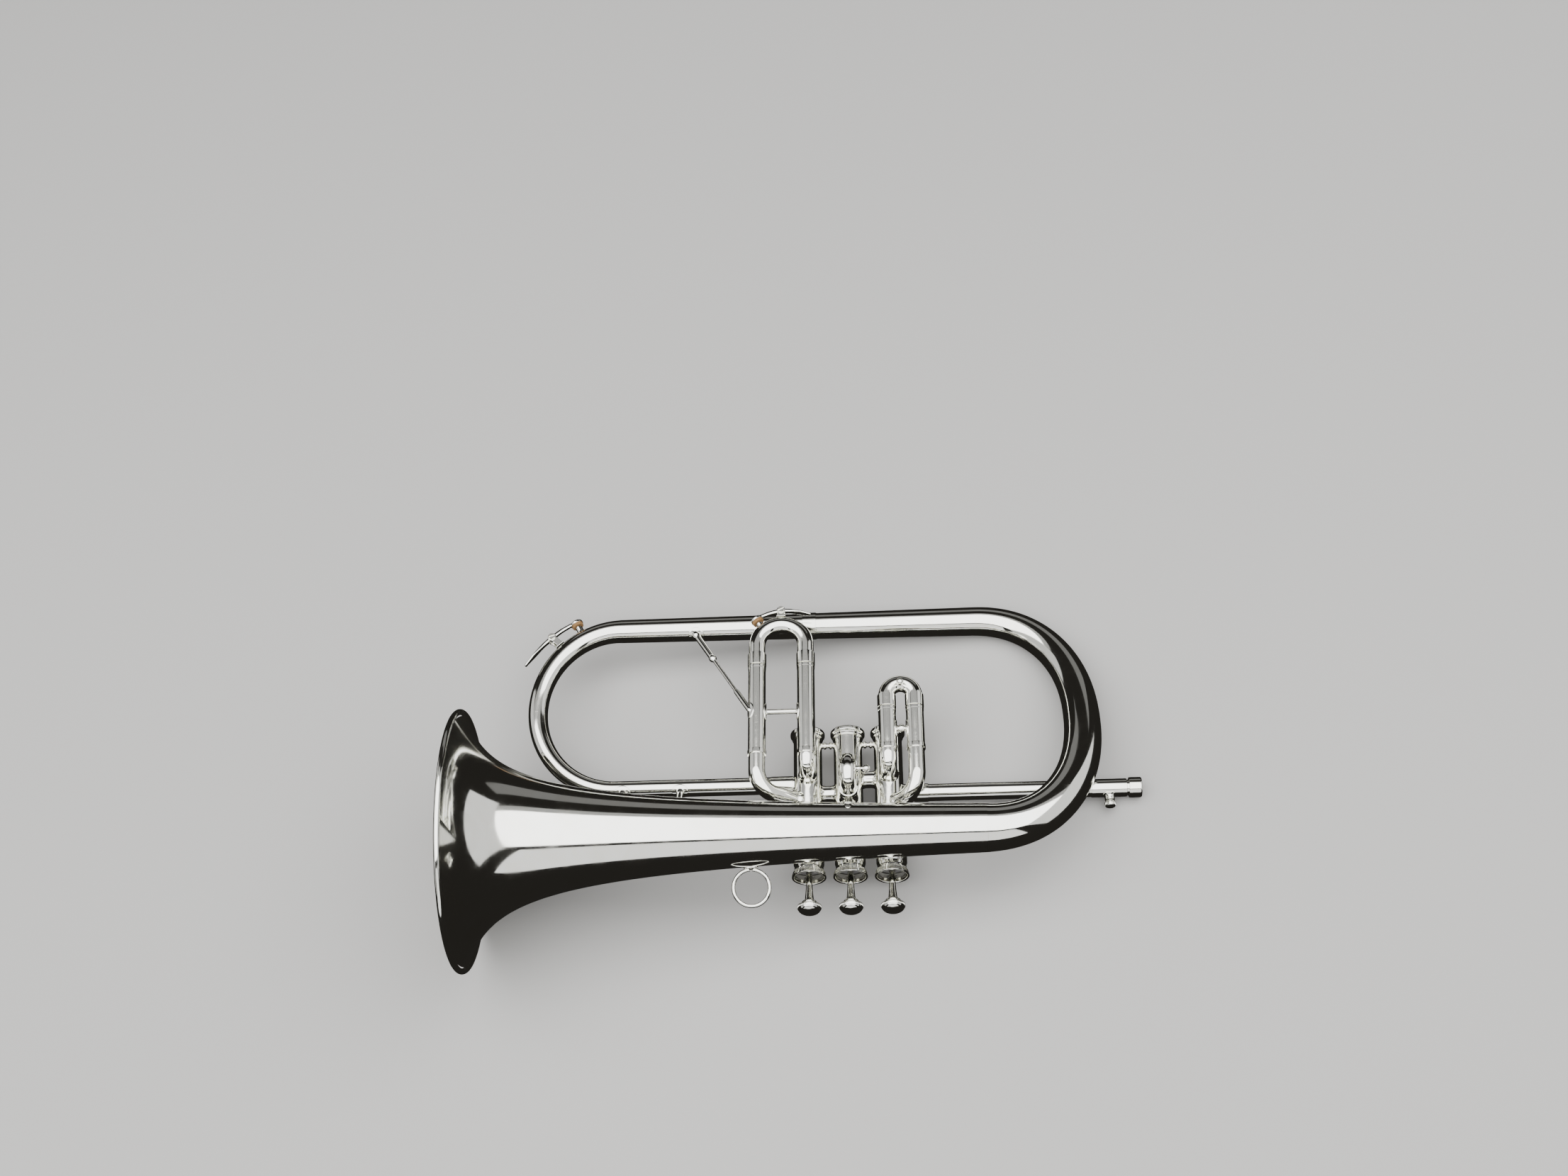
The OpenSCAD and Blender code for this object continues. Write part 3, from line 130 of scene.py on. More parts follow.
# Handling marks: cloudy smudges and fine polishing scratches, as masks from 0 to 1
def makeHandlingGroup():
    group, inside, outside = newGroup(
        "handlingMarks",
        [("Smudge Scale", "NodeSocketFloat", 55.0), ("Scratch Scale", "NodeSocketFloat", 420.0)],
        [("Smudge", "NodeSocketFloat"), ("Scratch", "NodeSocketFloat")])
    where = addNode(group, "ShaderNodeTexCoord")
    cloud = addNode(group, "ShaderNodeTexNoise", {"Detail": 4.0, "Roughness": 0.62, "Distortion": 0.8})
    cloudRange = addNode(group, "ShaderNodeMapRange", {"From Min": 0.42, "From Max": 0.72})
    stretch = addNode(group, "ShaderNodeMapping", {"Scale": (0.12, 1.0, 1.0), "Rotation": (0.3, 0.2, 0.5)})
    scratch = addNode(group, "ShaderNodeTexNoise", {"Detail": 2.0, "Roughness": 0.5})
    scratchRange = addNode(group, "ShaderNodeMapRange", {"From Min": 0.56, "From Max": 0.7})
    for texture, scale in ((cloud, "Smudge Scale"), (scratch, "Scratch Scale")):
        link(group, inside.outputs[scale], texture.inputs["Scale"])
    linkAll(group, [
        (where, "Object", cloud, "Vector"),
        (where, "Object", stretch, "Vector"),
        (stretch, "Vector", scratch, "Vector"),
        (cloud, "Fac", cloudRange, "Value"),
        (scratch, "Fac", scratchRange, "Value"),
        (cloudRange, "Result", outside, "Smudge"),
        (scratchRange, "Result", outside, "Scratch"),
    ])
    return group


handlingMarks = makeHandlingGroup()


def metalFinish(name, look):
    finish, tree, shader = newFinish(name)
    shader.inputs["Metallic"].default_value = 1.0
    scales = {key: look[key] for key in ("Smudge Scale", "Scratch Scale")}
    marks = addNode(tree, "ShaderNodeGroup", scales, node_tree=handlingMarks)
    tints = {"A": (*look["bright"], 1), "B": (*look["dull"], 1)}
    tint = addNode(tree, "ShaderNodeMix", tints, data_type="RGBA")
    fade = addNode(tree, "ShaderNodeMath", {1: look["dulling"]}, operation="MULTIPLY")
    linkAll(tree, [
        (marks, "Smudge", fade, 0),
        (fade, 0, tint, "Factor"),
        (tint, "Result", shader, "Base Color"),
    ])
    gloss = addNode(tree, "ShaderNodeMapRange", {"To Min": look["rough"][0], "To Max": look["rough"][1]})
    fine = addNode(tree, "ShaderNodeMath", {1: look["scratchRough"]}, operation="MULTIPLY")
    total = addNode(tree, "ShaderNodeMath", operation="ADD")
    linkAll(tree, [
        (marks, "Smudge", gloss, "Value"),
        (marks, "Scratch", fine, 0),
        (gloss, "Result", total, 0),
        (fine, 0, total, 1),
        (total, 0, shader, "Roughness"),
    ])
    bump = addNode(tree, "ShaderNodeBump", {"Strength": look["bump"], "Distance": 0.00004})
    linkAll(tree, [
        (marks, "Scratch", bump, "Height"),
        (bump, "Normal", shader, "Normal"),
    ])
    return finish


silverLook = {"bright": (0.93, 0.93, 0.875), "dull": (0.8, 0.775, 0.68), "dulling": 0.35,
              "rough": (0.065, 0.13), "scratchRough": 0.03, "bump": 0.02,
              "Smudge Scale": 42.0, "Scratch Scale": 380.0}
silverPlate = metalFinish("silver_plate", silverLook)
innerLook = {**silverLook, "bright": (0.87, 0.86, 0.81), "dull": (0.62, 0.56, 0.44), "dulling": 0.6,
             "rough": (0.16, 0.3), "bump": 0.12}
silverInside = metalFinish("silver_plate_inside", innerLook)
pistonLook = {**silverLook, "bright": (0.7, 0.69, 0.66), "dull": (0.52, 0.5, 0.46), "rough": (0.14, 0.26),
              "bump": 0.1}
pistonMetal = metalFinish("piston_nickel", pistonLook)
springLook = {**silverLook, "bright": (0.56, 0.57, 0.58), "dull": (0.36, 0.33, 0.3), "rough": (0.2, 0.36)}
springSteel = metalFinish("spring_steel", springLook)


def softFinish(name, look):
    finish, tree, shader = newFinish(name)
    setInputs(shader, {"Roughness": look["rough"], "Sheen Weight": look["sheen"],
                       "Specular IOR Level": 0.25})
    where = addNode(tree, "ShaderNodeTexCoord")
    grain = addNode(tree, "ShaderNodeTexNoise",
                    {"Scale": look["grain"], "Detail": 6.0, "Roughness": 0.7, "Distortion": look["swirl"]})
    cells = addNode(tree, "ShaderNodeTexVoronoi", {"Scale": look["cells"]})
    ramp = addNode(tree, "ShaderNodeValToRGB")
    for stop, position, tone in zip(ramp.color_ramp.elements, (0.34, 0.62), ("dark", "light")):
        stop.position = position
        stop.color = (*look[tone], 1)
    speck = addNode(tree, "ShaderNodeMapRange",
                    {"From Min": 0.0, "From Max": 0.28, "To Min": 0.55, "To Max": 1.0})
    shade = addNode(tree, "ShaderNodeMix", {"Factor": look["speckle"]},
                    data_type="RGBA", blend_type="MULTIPLY")
    bump = addNode(tree, "ShaderNodeBump", {"Strength": look["bump"], "Distance": 0.0003})
    linkAll(tree, [
        (where, "Object", grain, "Vector"),
        (where, "Object", cells, "Vector"),
        (grain, "Fac", ramp, "Fac"),
        (cells, "Distance", speck, "Value"),
        (ramp, "Color", shade, "A"),
        (speck, "Result", shade, "B"),
        (shade, "Result", shader, "Base Color"),
        (grain, "Fac", bump, "Height"),
        (bump, "Normal", shader, "Normal"),
    ])
    return finish


corkLook = {"light": (0.3, 0.175, 0.075), "dark": (0.14, 0.075, 0.03), "rough": 0.82, "sheen": 0.0,
            "grain": 900.0, "swirl": 0.4, "cells": 1400.0, "speckle": 0.6, "bump": 0.5}
feltLook = {"light": (0.075, 0.072, 0.07), "dark": (0.03, 0.03, 0.032), "rough": 0.95, "sheen": 0.35,
            "grain": 2600.0, "swirl": 2.2, "cells": 3200.0, "speckle": 0.3, "bump": 0.7}
keyCork = softFinish("key_cork", corkLook)
valveFelt = softFinish("valve_felt", feltLook)
print("finishes made")


# Node trees for what follows a path or repeats
def newTree(name, inputs):
    tree = bpy.data.node_groups.new(name, "GeometryNodeTree")
    tree.interface.new_socket("Geometry", in_out="INPUT", socket_type="NodeSocketGeometry")
    for label, kind, value in inputs:
        made = tree.interface.new_socket(label, in_out="INPUT", socket_type=kind)
        if value is not None:
            made.default_value = value
    tree.interface.new_socket("Geometry", in_out="OUTPUT", socket_type="NodeSocketGeometry")
    return tree, tree.nodes.new("NodeGroupInput"), tree.nodes.new("NodeGroupOutput")


def closeTree(tree, inside, outside, result):
    real = tree.nodes.new("GeometryNodeRealizeInstances")
    coat = tree.nodes.new("GeometryNodeSetMaterial")
    link(tree, result, real.inputs["Geometry"])
    linkAll(tree, [
        (real, "Geometry", coat, "Geometry"),
        (inside, "Finish", coat, "Material"),
        (coat, "Geometry", outside, "Geometry"),
    ])


def mathNode(tree, operation, first, second):
    node = tree.nodes.new("ShaderNodeMath")
    node.operation = operation
    for slot, value in enumerate((first, second)):
        if isinstance(value, (int, float)):
            node.inputs[slot].default_value = value
        else:
            link(tree, value, node.inputs[slot])
    return node.outputs[0]


# A round tube along a run of points, as wide at each point as its attribute says
def makeTubeTree():
    tree, inside, outside = newTree(
        "tubeRun", [("Sides", "NodeSocketInt", 48), ("Finish", "NodeSocketMaterial", None)])
    run = tree.nodes.new("GeometryNodeMeshToCurve")
    size = addNode(tree, "GeometryNodeInputNamedAttribute", {"Name": "tubeRadius"}, data_type="FLOAT")
    section = addNode(tree, "GeometryNodeCurvePrimitiveCircle", {"Radius": 1.0})
    tube = addNode(tree, "GeometryNodeCurveToMesh", {"Fill Caps": True})
    linkAll(tree, [
        (inside, "Geometry", run, "Mesh"),
        (inside, "Sides", section, "Resolution"),
        (run, "Curve", tube, "Curve"),
        (section, "Curve", tube, "Profile Curve"),
        (size, "Attribute", tube, "Scale"),
    ])
    closeTree(tree, inside, outside, tube.outputs["Mesh"])
    return tree


# The bell: its radius falls with a power of the distance behind the mouth
def makeBellTree():
    tree, inside, outside = newTree(
        "bellFlare", [("Mouth Radius", "NodeSocketFloat", 78.0), ("Flare Depth", "NodeSocketFloat", 15.0),
                      ("Flare Power", "NodeSocketFloat", 0.54), ("Start", "NodeSocketFloat", 1.0),
                      ("Length", "NodeSocketFloat", 317.0), ("Rings", "NodeSocketInt", 96),
                      ("Sides", "NodeSocketInt", 160), ("Finish", "NodeSocketMaterial", None)])
    line = addNode(tree, "GeometryNodeCurvePrimitiveLine", {"Start": (0, 0, 0), "End": (1, 0, 0)})
    rings = addNode(tree, "GeometryNodeResampleCurve")
    share = tree.nodes.new("GeometryNodeSplineParameter")
    span = mathNode(tree, "SUBTRACT", inside.outputs["Length"], inside.outputs["Start"])
    spread = mathNode(tree, "MULTIPLY", mathNode(tree, "POWER", share.outputs["Factor"], 2.0), span)
    place = tree.nodes.new("ShaderNodeCombineXYZ")
    link(tree, mathNode(tree, "ADD", spread, inside.outputs["Start"]), place.inputs["X"])
    move = tree.nodes.new("GeometryNodeSetPosition")
    here = tree.nodes.new("GeometryNodeInputPosition")
    split = tree.nodes.new("ShaderNodeSeparateXYZ")
    link(tree, here.outputs["Position"], split.inputs["Vector"])
    behind = mathNode(tree, "DIVIDE", split.outputs["X"], inside.outputs["Flare Depth"])
    ratio = mathNode(tree, "ADD", behind, 1.0)
    fall = mathNode(tree, "POWER", ratio, mathNode(tree, "MULTIPLY", inside.outputs["Flare Power"], -1.0))
    section = addNode(tree, "GeometryNodeCurvePrimitiveCircle", {"Radius": 1.0})
    skin = addNode(tree, "GeometryNodeCurveToMesh", {"Fill Caps": False})
    linkAll(tree, [
        (line, "Curve", rings, "Curve"),
        (inside, "Rings", rings, "Count"),
        (rings, "Curve", move, "Geometry"),
        (place, "Vector", move, "Position"),
        (inside, "Sides", section, "Resolution"),
        (move, "Geometry", skin, "Curve"),
        (section, "Curve", skin, "Profile Curve"),
    ])
    link(tree, mathNode(tree, "MULTIPLY", fall, inside.outputs["Mouth Radius"]), skin.inputs["Scale"])
    closeTree(tree, inside, outside, skin.outputs["Mesh"])
    return tree


# Knurling: small ridges in a ring round the Z axis
def makeKnurlTree():
    tree, inside, outside = newTree(
        "knurledBand", [("Radius", "NodeSocketFloat", 10.0), ("Count", "NodeSocketInt", 72),
                        ("Ridge", "NodeSocketVector", (0.3, 0.3, 1.0)),
                        ("Finish", "NodeSocketMaterial", None)])
    circle = addNode(tree, "GeometryNodeCurvePrimitiveCircle")
    bead = addNode(tree, "GeometryNodeMeshUVSphere", {"Segments": 8, "Rings": 5, "Radius": 1.0})
    here = tree.nodes.new("GeometryNodeInputPosition")
    turn = addNode(tree, "FunctionNodeAlignRotationToVector", axis="X")
    spread = tree.nodes.new("GeometryNodeInstanceOnPoints")
    linkAll(tree, [
        (inside, "Radius", circle, "Radius"),
        (inside, "Count", circle, "Resolution"),
        (here, "Position", turn, "Vector"),
        (circle, "Curve", spread, "Points"),
        (bead, "Mesh", spread, "Instance"),
        (turn, "Rotation", spread, "Rotation"),
        (inside, "Ridge", spread, "Scale"),
    ])
    closeTree(tree, inside, outside, spread.outputs["Instances"])
    return tree


# A coil of round wire round the Z axis
def makeCoilTree():
    tree, inside, outside = newTree(
        "wireCoil", [("Coil Radius", "NodeSocketFloat", 5.6), ("Wire Radius", "NodeSocketFloat", 0.5),
                     ("Turns", "NodeSocketFloat", 6.0), ("Height", "NodeSocketFloat", 20.0),
                     ("Finish", "NodeSocketMaterial", None)])
    coil = addNode(tree, "GeometryNodeCurveSpiral", {"Resolution": 40})
    section = addNode(tree, "GeometryNodeCurvePrimitiveCircle", {"Resolution": 12})
    wire = addNode(tree, "GeometryNodeCurveToMesh", {"Fill Caps": True})
    for name in ("Start Radius", "End Radius"):
        link(tree, inside.outputs["Coil Radius"], coil.inputs[name])
    linkAll(tree, [
        (inside, "Turns", coil, "Rotations"),
        (inside, "Height", coil, "Height"),
        (inside, "Wire Radius", section, "Radius"),
        (coil, "Curve", wire, "Curve"),
        (section, "Curve", wire, "Profile Curve"),
    ])
    closeTree(tree, inside, outside, wire.outputs["Mesh"])
    return tree


tubeTree, bellTree, knurlTree, coilTree = makeTubeTree(), makeBellTree(), makeKnurlTree(), makeCoilTree()
print("node trees made")


# Runs a tree on a run of points and gives back its points and faces
def grow(tree, inputs, points=((0, 0, 0),), edges=(), radii=None):
    mesh = bpy.data.meshes.new("run")
    mesh.from_pydata([tuple(p) for p in points], list(edges), [])
    if radii is not None:
        mesh.attributes.new("tubeRadius", "FLOAT", "POINT").data.foreach_set("value", np.float32(radii))
    source = show(bpy.data.objects.new("run", mesh))
    maker = source.modifiers.new("grow", "NODES")
    maker.node_group = tree
    names = {s.name: s.identifier for s in tree.interface.items_tree if s.in_out == "INPUT"}
    for name, value in inputs.items():
        maker[names[name]] = value
    bpy.context.view_layer.update()
    made = bpy.data.meshes.new_from_object(source.evaluated_get(bpy.context.evaluated_depsgraph_get()))
    grown = np.array([v.co[:] for v in made.vertices], float), [tuple(p.vertices) for p in made.polygons]
    source.modifiers.remove(maker)
    bpy.data.objects.remove(source)
    for spent in (mesh, made):
        bpy.data.meshes.remove(spent)
    return grown


def tube(points, radii, sides):
    points = np.asarray(points, float)
    radii = np.broadcast_to(np.asarray(radii, float), len(points))
    edges = [(k, k + 1) for k in range(len(points) - 1)]
    return grow(tubeTree, {"Sides": sides, "Finish": silverPlate}, points, edges, radii)


def sideAxes(axis):
    axis = unit(axis)
    helper = alongZ if abs(axis[2]) < 0.9 else alongX
    first = unit(np.cross(helper, axis))
    return first, np.cross(axis, first), axis


# A tree that grows round Z, stood on a point along an axis
def stood(grown, base, axis):
    points, faces = grown
    return points @ np.stack(sideAxes(axis)) + np.asarray(base, float), faces


# A knurled band; a slope changes its width along its axis
def knurl(band, base, axis):
    sizes = {"Radius": band["radius"], "Count": band["count"], "Ridge": band["ridge"], "Finish": silverPlate}
    points, faces = grow(knurlTree, sizes)
    points[:, :2] *= 1 + band.get("slope", 0.0) * points[:, 2:] / band["radius"]
    return stood((points, faces), base, axis)


# Corners given as radius, height and, where it is rounded, how far the rounding reaches
def rounded(corners, loop=False, steps=5):
    out = []
    last = len(corners) - 1
    for i, corner in enumerate(corners):
        p = np.array(corner[:2], float)
        if len(corner) < 3 or (not loop and i in (0, last)):
            out.append(p)
            continue
        before = np.array(corners[i - 1][:2], float) - p
        after = np.array(corners[(i + 1) % len(corners)][:2], float) - p
        reach = min(corner[2], 0.45 * np.linalg.norm(before), 0.45 * np.linalg.norm(after))
        start, end = p + unit(before) * reach, p + unit(after) * reach
        for t in np.linspace(0, 1, steps + 1):
            out.append((1 - t) ** 2 * start + 2 * t * (1 - t) * p + t ** 2 * end)
    return out


# The other half of an outline that is the same on both sides of zero height
def mirrored(corners):
    return [(r, -height, *edge) for r, height, *edge in reversed(corners)]


# The corners of a ring of round wire
def wireRing(middleR, wireR, sides):
    turns = np.linspace(0, 2 * math.pi, sides, endpoint=False)
    return [(middleR + wireR * math.cos(a), wireR * math.sin(a)) for a in turns]


# Faces between one ring of points and the next, where a ring of one point is a pole
def ringFaces(rings, sides):
    faces = []
    for low, high in zip(rings, rings[1:]):
        for k in range(sides):
            n = (k + 1) % sides
            if len(low) == 1 and len(high) > 1:
                faces.append((low[0], high[n], high[k]))
            elif len(high) == 1 and len(low) > 1:
                faces.append((low[k], low[n], high[0]))
            elif len(low) > 1:
                faces.append((low[k], low[n], high[n], high[k]))
    return faces


# A turned shape: corners revolved about an axis; a loop is a ring or a hollow piece
def turned(corners, base, axis, sides, loop=False):
    first, second, axis = sideAxes(axis)
    base = np.asarray(base, float)
    turns = np.linspace(0, 2 * math.pi, sides, endpoint=False)
    spokes = np.cos(turns)[:, None] * first + np.sin(turns)[:, None] * second
    points, rings = [], []
    for radius, height in rounded(corners, loop):
        middle = base + axis * height
        count = 1 if radius < 1e-6 else sides
        rings.append([len(points) + k for k in range(count)])
        points.extend([middle] if count == 1 else list(middle + radius * spokes))
    faces = ringFaces(rings + rings[:1] if loop else rings, sides)
    if not loop:
        faces += [tuple(ring) for ring in (rings[0], rings[-1]) if len(ring) > 1]
    return np.array(points), faces


# A thin plate with a soft edge, bent round a tube: sizes are half lengths along and round it
def saddleFoot(centre, along, out, radiusAt, halves, height):
    along, out = unit(along), unit(out)
    side = np.cross(along, out)
    sides, sunk = postSides, -0.25
    layers = [(0.0, height), (0.4, height), (0.78, height), (0.9, 0.93 * height), (0.97, 0.7 * height),
              (1.0, 0.3 * height), (1.0, sunk), (0.5, sunk), (0.0, sunk)]
    points, rings = [], []
    for share, rise in layers:
        count = 1 if share == 0 else sides
        rings.append([len(points) + k for k in range(count)])
        for k in range(count):
            turn = 2 * math.pi * k / sides
            a, b = halves[0] * share * math.cos(turn), halves[1] * share * math.sin(turn)
            r = radiusAt(a)
            bend = b / r
            points.append(np.asarray(centre, float) + along * a
                          + (r + rise) * (math.cos(bend) * out + math.sin(bend) * side))
    return np.array(points), ringFaces(rings, sides)


# A flat strap with round edges along a line in a plane; widths and thicknesses change along it
def strap(line, across, widths, thickness, steps=40, sides=16):
    line = np.asarray(line, float)
    across = unit(across)
    share = np.linspace(0, 1, len(line))
    fine = np.linspace(0, 1, steps)
    points = np.stack([np.interp(fine, share, line[:, k]) for k in range(3)], 1)
    for _ in range(3):
        points[1:-1] = (points[:-2] + 2 * points[1:-1] + points[2:]) / 4
    width, depth = np.interp(fine, share, widths), np.interp(fine, share, thickness)
    flow = np.gradient(points, axis=0)
    flow /= np.linalg.norm(flow, axis=1)[:, None]
    lift = np.cross(flow, across)
    section = []
    for k in range(sides):
        a = 2 * math.pi * k / sides
        c, s = math.cos(a), math.sin(a)
        section.append((math.copysign(abs(c) ** 0.35, c), math.copysign(abs(s) ** 0.6, s)))
    made = []
    for i in range(steps):
        for c, s in section:
            made.append(points[i] + across * (width[i] / 2 * c) + lift[i] * (depth[i] / 2 * s))
    rings = [list(range(i * sides, (i + 1) * sides)) for i in range(steps)]
    return np.array(made), ringFaces(rings, sides) + [tuple(rings[0]), tuple(rings[-1])]


# Half of a slotted screw head: a disc cut by a gap, with a softened top edge
def halfDisc(base, axis, way, radius, gap, height):
    axis, way = unit(axis), unit(way)
    side = np.cross(axis, way)
    start = math.asin(gap / radius)
    arc = np.linspace(start, math.pi - start, 18)
    rim = np.array([radius * (math.cos(t) * way + math.sin(t) * side) for t in arc])
    middle = rim.mean(0)
    layers = ((0.0, 1.0), (0.7 * height, 1.0), (height, 0.88))
    points = np.concatenate([np.asarray(base, float) + axis * rise + middle + (rim - middle) * share
                             for rise, share in layers])
    count = len(rim)
    rings = [list(range(i * count, (i + 1) * count)) for i in range(len(layers))]
    return points, ringFaces(rings, count) + [tuple(rings[0]), tuple(rings[-1])]


# A block with bevelled edges on three axes, from its middle and its half sizes
def block(centre, axes, halves, edge):
    centre, axes = np.asarray(centre, float), [unit(a) for a in axes]
    bm = bmesh.new()
    bmesh.ops.create_cube(bm, size=2.0)
    for v in bm.verts:
        v.co = tuple(c * h for c, h in zip(v.co, halves))
    bmesh.ops.bevel(bm, geom=bm.edges[:], offset=edge, segments=3, profile=0.5, affect="EDGES")
    bm.verts.ensure_lookup_table()
    points = [centre + sum(c * a for c, a in zip(v.co, axes)) for v in bm.verts]
    faces = [tuple(v.index for v in f.verts) for f in bm.faces]
    bm.free()
    return np.array(points), faces


# One piece from its shells, in the lying frame, on a body and in place of its node
def addPiece(name, shells, body, node, finish=silverPlate, skin=False):
    points, faces = [], []
    for shellPoints, shellFaces in shells:
        faces += [tuple(i + len(points) for i in f) for f in shellFaces]
        points += list(shellPoints)
    mesh = bpy.data.meshes.new(name)
    mesh.from_pydata([tuple(p) for p in placed(points)], [], faces)
    bm = bmesh.new()
    bm.from_mesh(mesh)
    bmesh.ops.remove_doubles(bm, verts=bm.verts, dist=1e-7)
    if not skin:
        bmesh.ops.recalc_face_normals(bm, faces=bm.faces)
    sharpest = math.radians(38)
    for edge in bm.edges:
        edge.smooth = len(edge.link_faces) == 2 and edge.calc_face_angle(0.0) < sharpest
    for face in bm.faces:
        face.smooth = True
    bm.to_mesh(mesh)
    bm.free()
    mesh.materials.append(finish)
    piece = show(bpy.data.objects.new(name, mesh))
    if not skin:
        piece.modifiers.new("faceWeights", "WEIGHTED_NORMAL").keep_sharp = True
    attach(piece, body)
    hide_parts(node)
    return piece


# Bell and its rim
bell = {"rings": 110, "sides": 180, "start": 0.9, "tailX": 83.0, "beadSides": 24}
mouthR = horn["bellR"] - horn["beadR"]


def bellRadius(x):
    behind = max(0.0, x + horn["bellReach"])
    return mouthR * (1 + behind / horn["flareDepth"]) ** -horn["flarePower"]


bellInputs = {
    "Mouth Radius": mouthR, "Flare Depth": horn["flareDepth"], "Flare Power": horn["flarePower"],
    "Start": bell["start"], "Length": horn["bellReach"] + bell["tailX"],
    "Rings": bell["rings"], "Sides": bell["sides"], "Finish": silverPlate}
bellPoints, bellFaces = grow(bellTree, bellInputs)
bellPoints[:, 0] -= horn["bellReach"]
p, q, r = bellPoints[list(bellFaces[0][:3])]
if np.dot(np.cross(q - p, r - p), p * [0, 1, 1]) < 0:  # the skin faces outwards
    bellFaces = [f[::-1] for f in bellFaces]
bellPiece = addPiece("bell_shell", [(bellPoints, bellFaces)], "horn", "bell", skin=True)
bellPiece.data.materials.append(silverInside)
wall = bellPiece.modifiers.new("wall", "SOLIDIFY")
wall.thickness = horn["sheet"] / 1000
wall.offset = -1
wall.material_offset = 1
rimCorners = wireRing(mouthR, horn["beadR"], bell["beadSides"])
rimBead = turned(rimCorners, (-horn["bellReach"], 0, 0), alongX, bell["sides"], loop=True)
addPiece("bell_rim_bead", [rimBead], "horn", "bell_rim")
print("bell made")

# Big tubing round the wrap
bows = {"rearX": bell["tailX"], "rearReach": 64.5, "rearSquare": 2.2, "branchR": (9.4, 8.5), "taper": 0.7,
        "frontX": 148.0, "frontReach": 52.0, "lowerR": (8.3, 7.7), "jointX": -28.0, "exitStop": 8.4,
        "steps": 130, "sides": 72, "runSides": 64, "spigot": 5.0, "spigotStep": 0.03, "fit": 0.4}
bowSpan = math.hypot(wrapY, valveZ)
tailR = bellRadius(bows["rearX"])
frontMid, frontHalf = (wrapY + exitY) / 2, (wrapY - exitY) / 2


# A squarish half turn: one coordinate of it from its sine or cosine
def swing(c, square):
    return math.copysign(abs(c) ** (2 / square), c)


def rearBowAt(turn):
    x = bows["rearX"] + bows["rearReach"] * swing(math.sin(turn), bows["rearSquare"])
    share = (1 - swing(math.cos(turn), bows["rearSquare"])) / 2
    return np.array([x, share * wrapY, share * valveZ])


def rearBowRadius(turn):
    return tailR + (bows["branchR"][0] - tailR) * (turn / math.pi) ** bows["taper"]


def frontBowAt(turn):
    x = -bows["frontX"] - bows["frontReach"] * math.sin(turn)
    return np.array([x, frontMid + frontHalf * math.cos(turn), valveZ])


def frontBowRadius(turn):
    return bows["lowerR"][1] + (exitR - bows["lowerR"][1]) * (turn / math.pi) ** bows["taper"]


# A bow with a spigot at each end that sits inside the next tube
def bowTube(at, radiusAt, way):
    turnsAlong = np.linspace(0, math.pi, bows["steps"])
    points = [at(t) for t in turnsAlong]
    radii = [radiusAt(t) for t in turnsAlong]
    edge, deep = bows["spigotStep"] * way, bows["spigot"] * way
    points = [points[0] + deep, points[0] + edge] + points + [points[-1] + edge, points[-1] + deep]
    radii = [radii[0] - bows["fit"]] * 2 + radii + [radii[-1] - bows["fit"]] * 2
    return tube(points, radii, bows["sides"])


def runX(y, stations):
    return tube([(x, y, valveZ) for x, r in stations], [r for x, r in stations], bows["runSides"])


branchRun = [(bows["jointX"], bows["branchR"][1]), (bows["rearX"], bows["branchR"][0])]
lowerRun = [(-bows["frontX"], bows["lowerR"][1]), (bows["jointX"], bows["lowerR"][0])]
exitRun = [(-bows["frontX"], exitR), (valveXs[3] - bows["exitStop"], exitR)]
addPiece("rear_bow_tube", [bowTube(rearBowAt, rearBowRadius, -alongX)], "horn", "rear_bow")
addPiece("front_bow_tube", [bowTube(frontBowAt, frontBowRadius, alongX)], "horn", "front_bow")
addPiece("lower_branch_tube", [runX(wrapY, branchRun)], "horn", "lower_branch")
addPiece("lower_tube_run", [runX(wrapY, lowerRun)], "horn", "lower_tube")
addPiece("exit_tube_run", [runX(exitY, exitRun)], "horn", "exit_tube")

ferrules = {"rise": 0.35, "sunk": 0.3, "edge": 0.28, "length": 9.0, "exitLength": 14.0, "leadX": 41.0,
            "branchR": 8.6, "gap": 0.35}


# A ring on a tube that lies along x
def ferruleX(y, start, length, radius):
    inner, outer, edge = radius - ferrules["sunk"], radius + ferrules["rise"], ferrules["edge"]
    corners = [(inner, 0), (outer, 0, edge), (outer, length, edge), (inner, length)]
    return turned(corners, (start, y, valveZ), alongX, pipeSides, loop=True)


exitStart = valveXs[3] - casingR - ferrules["gap"] - ferrules["exitLength"]
addPiece("tube_ferrule_rings", [
    ferruleX(wrapY, bows["jointX"], ferrules["length"], ferrules["branchR"]),
    ferruleX(exitY, exitStart, ferrules["exitLength"], exitR),
    ferruleX(leadY, ferrules["leadX"], ferrules["length"], leadR)], "horn", "tube_ferrules")
print("tubing made")

# Valves: casings, caps, felts, knuckles and braces
valves = {"top": -3.0, "bottom": 84.5, "bore": 8.2, "collarRise": 0.5, "collarDepth": 5.0}


def atEachValve(corners, sides):
    return [turned(corners, (x, 0, valveZ), alongY, sides, loop=True) for x in valveXs.values()]


collarR, collarEnd = casingR + valves["collarRise"], valves["top"] + valves["collarDepth"]
casingCorners = [(collarR, valves["top"], 0.3), (collarR, collarEnd, 0.3), (casingR, collarEnd + 0.02),
                 (casingR, valves["bottom"], 0.15), (valves["bore"], valves["bottom"], 0.1),
                 (valves["bore"], valves["top"], 0.1)]
for i, casing in zip(valveXs, atEachValve(casingCorners, capSides)):
    addPiece(f"valve_casing_shell_{i}", [casing], "horn", f"valve_casing_{i}")

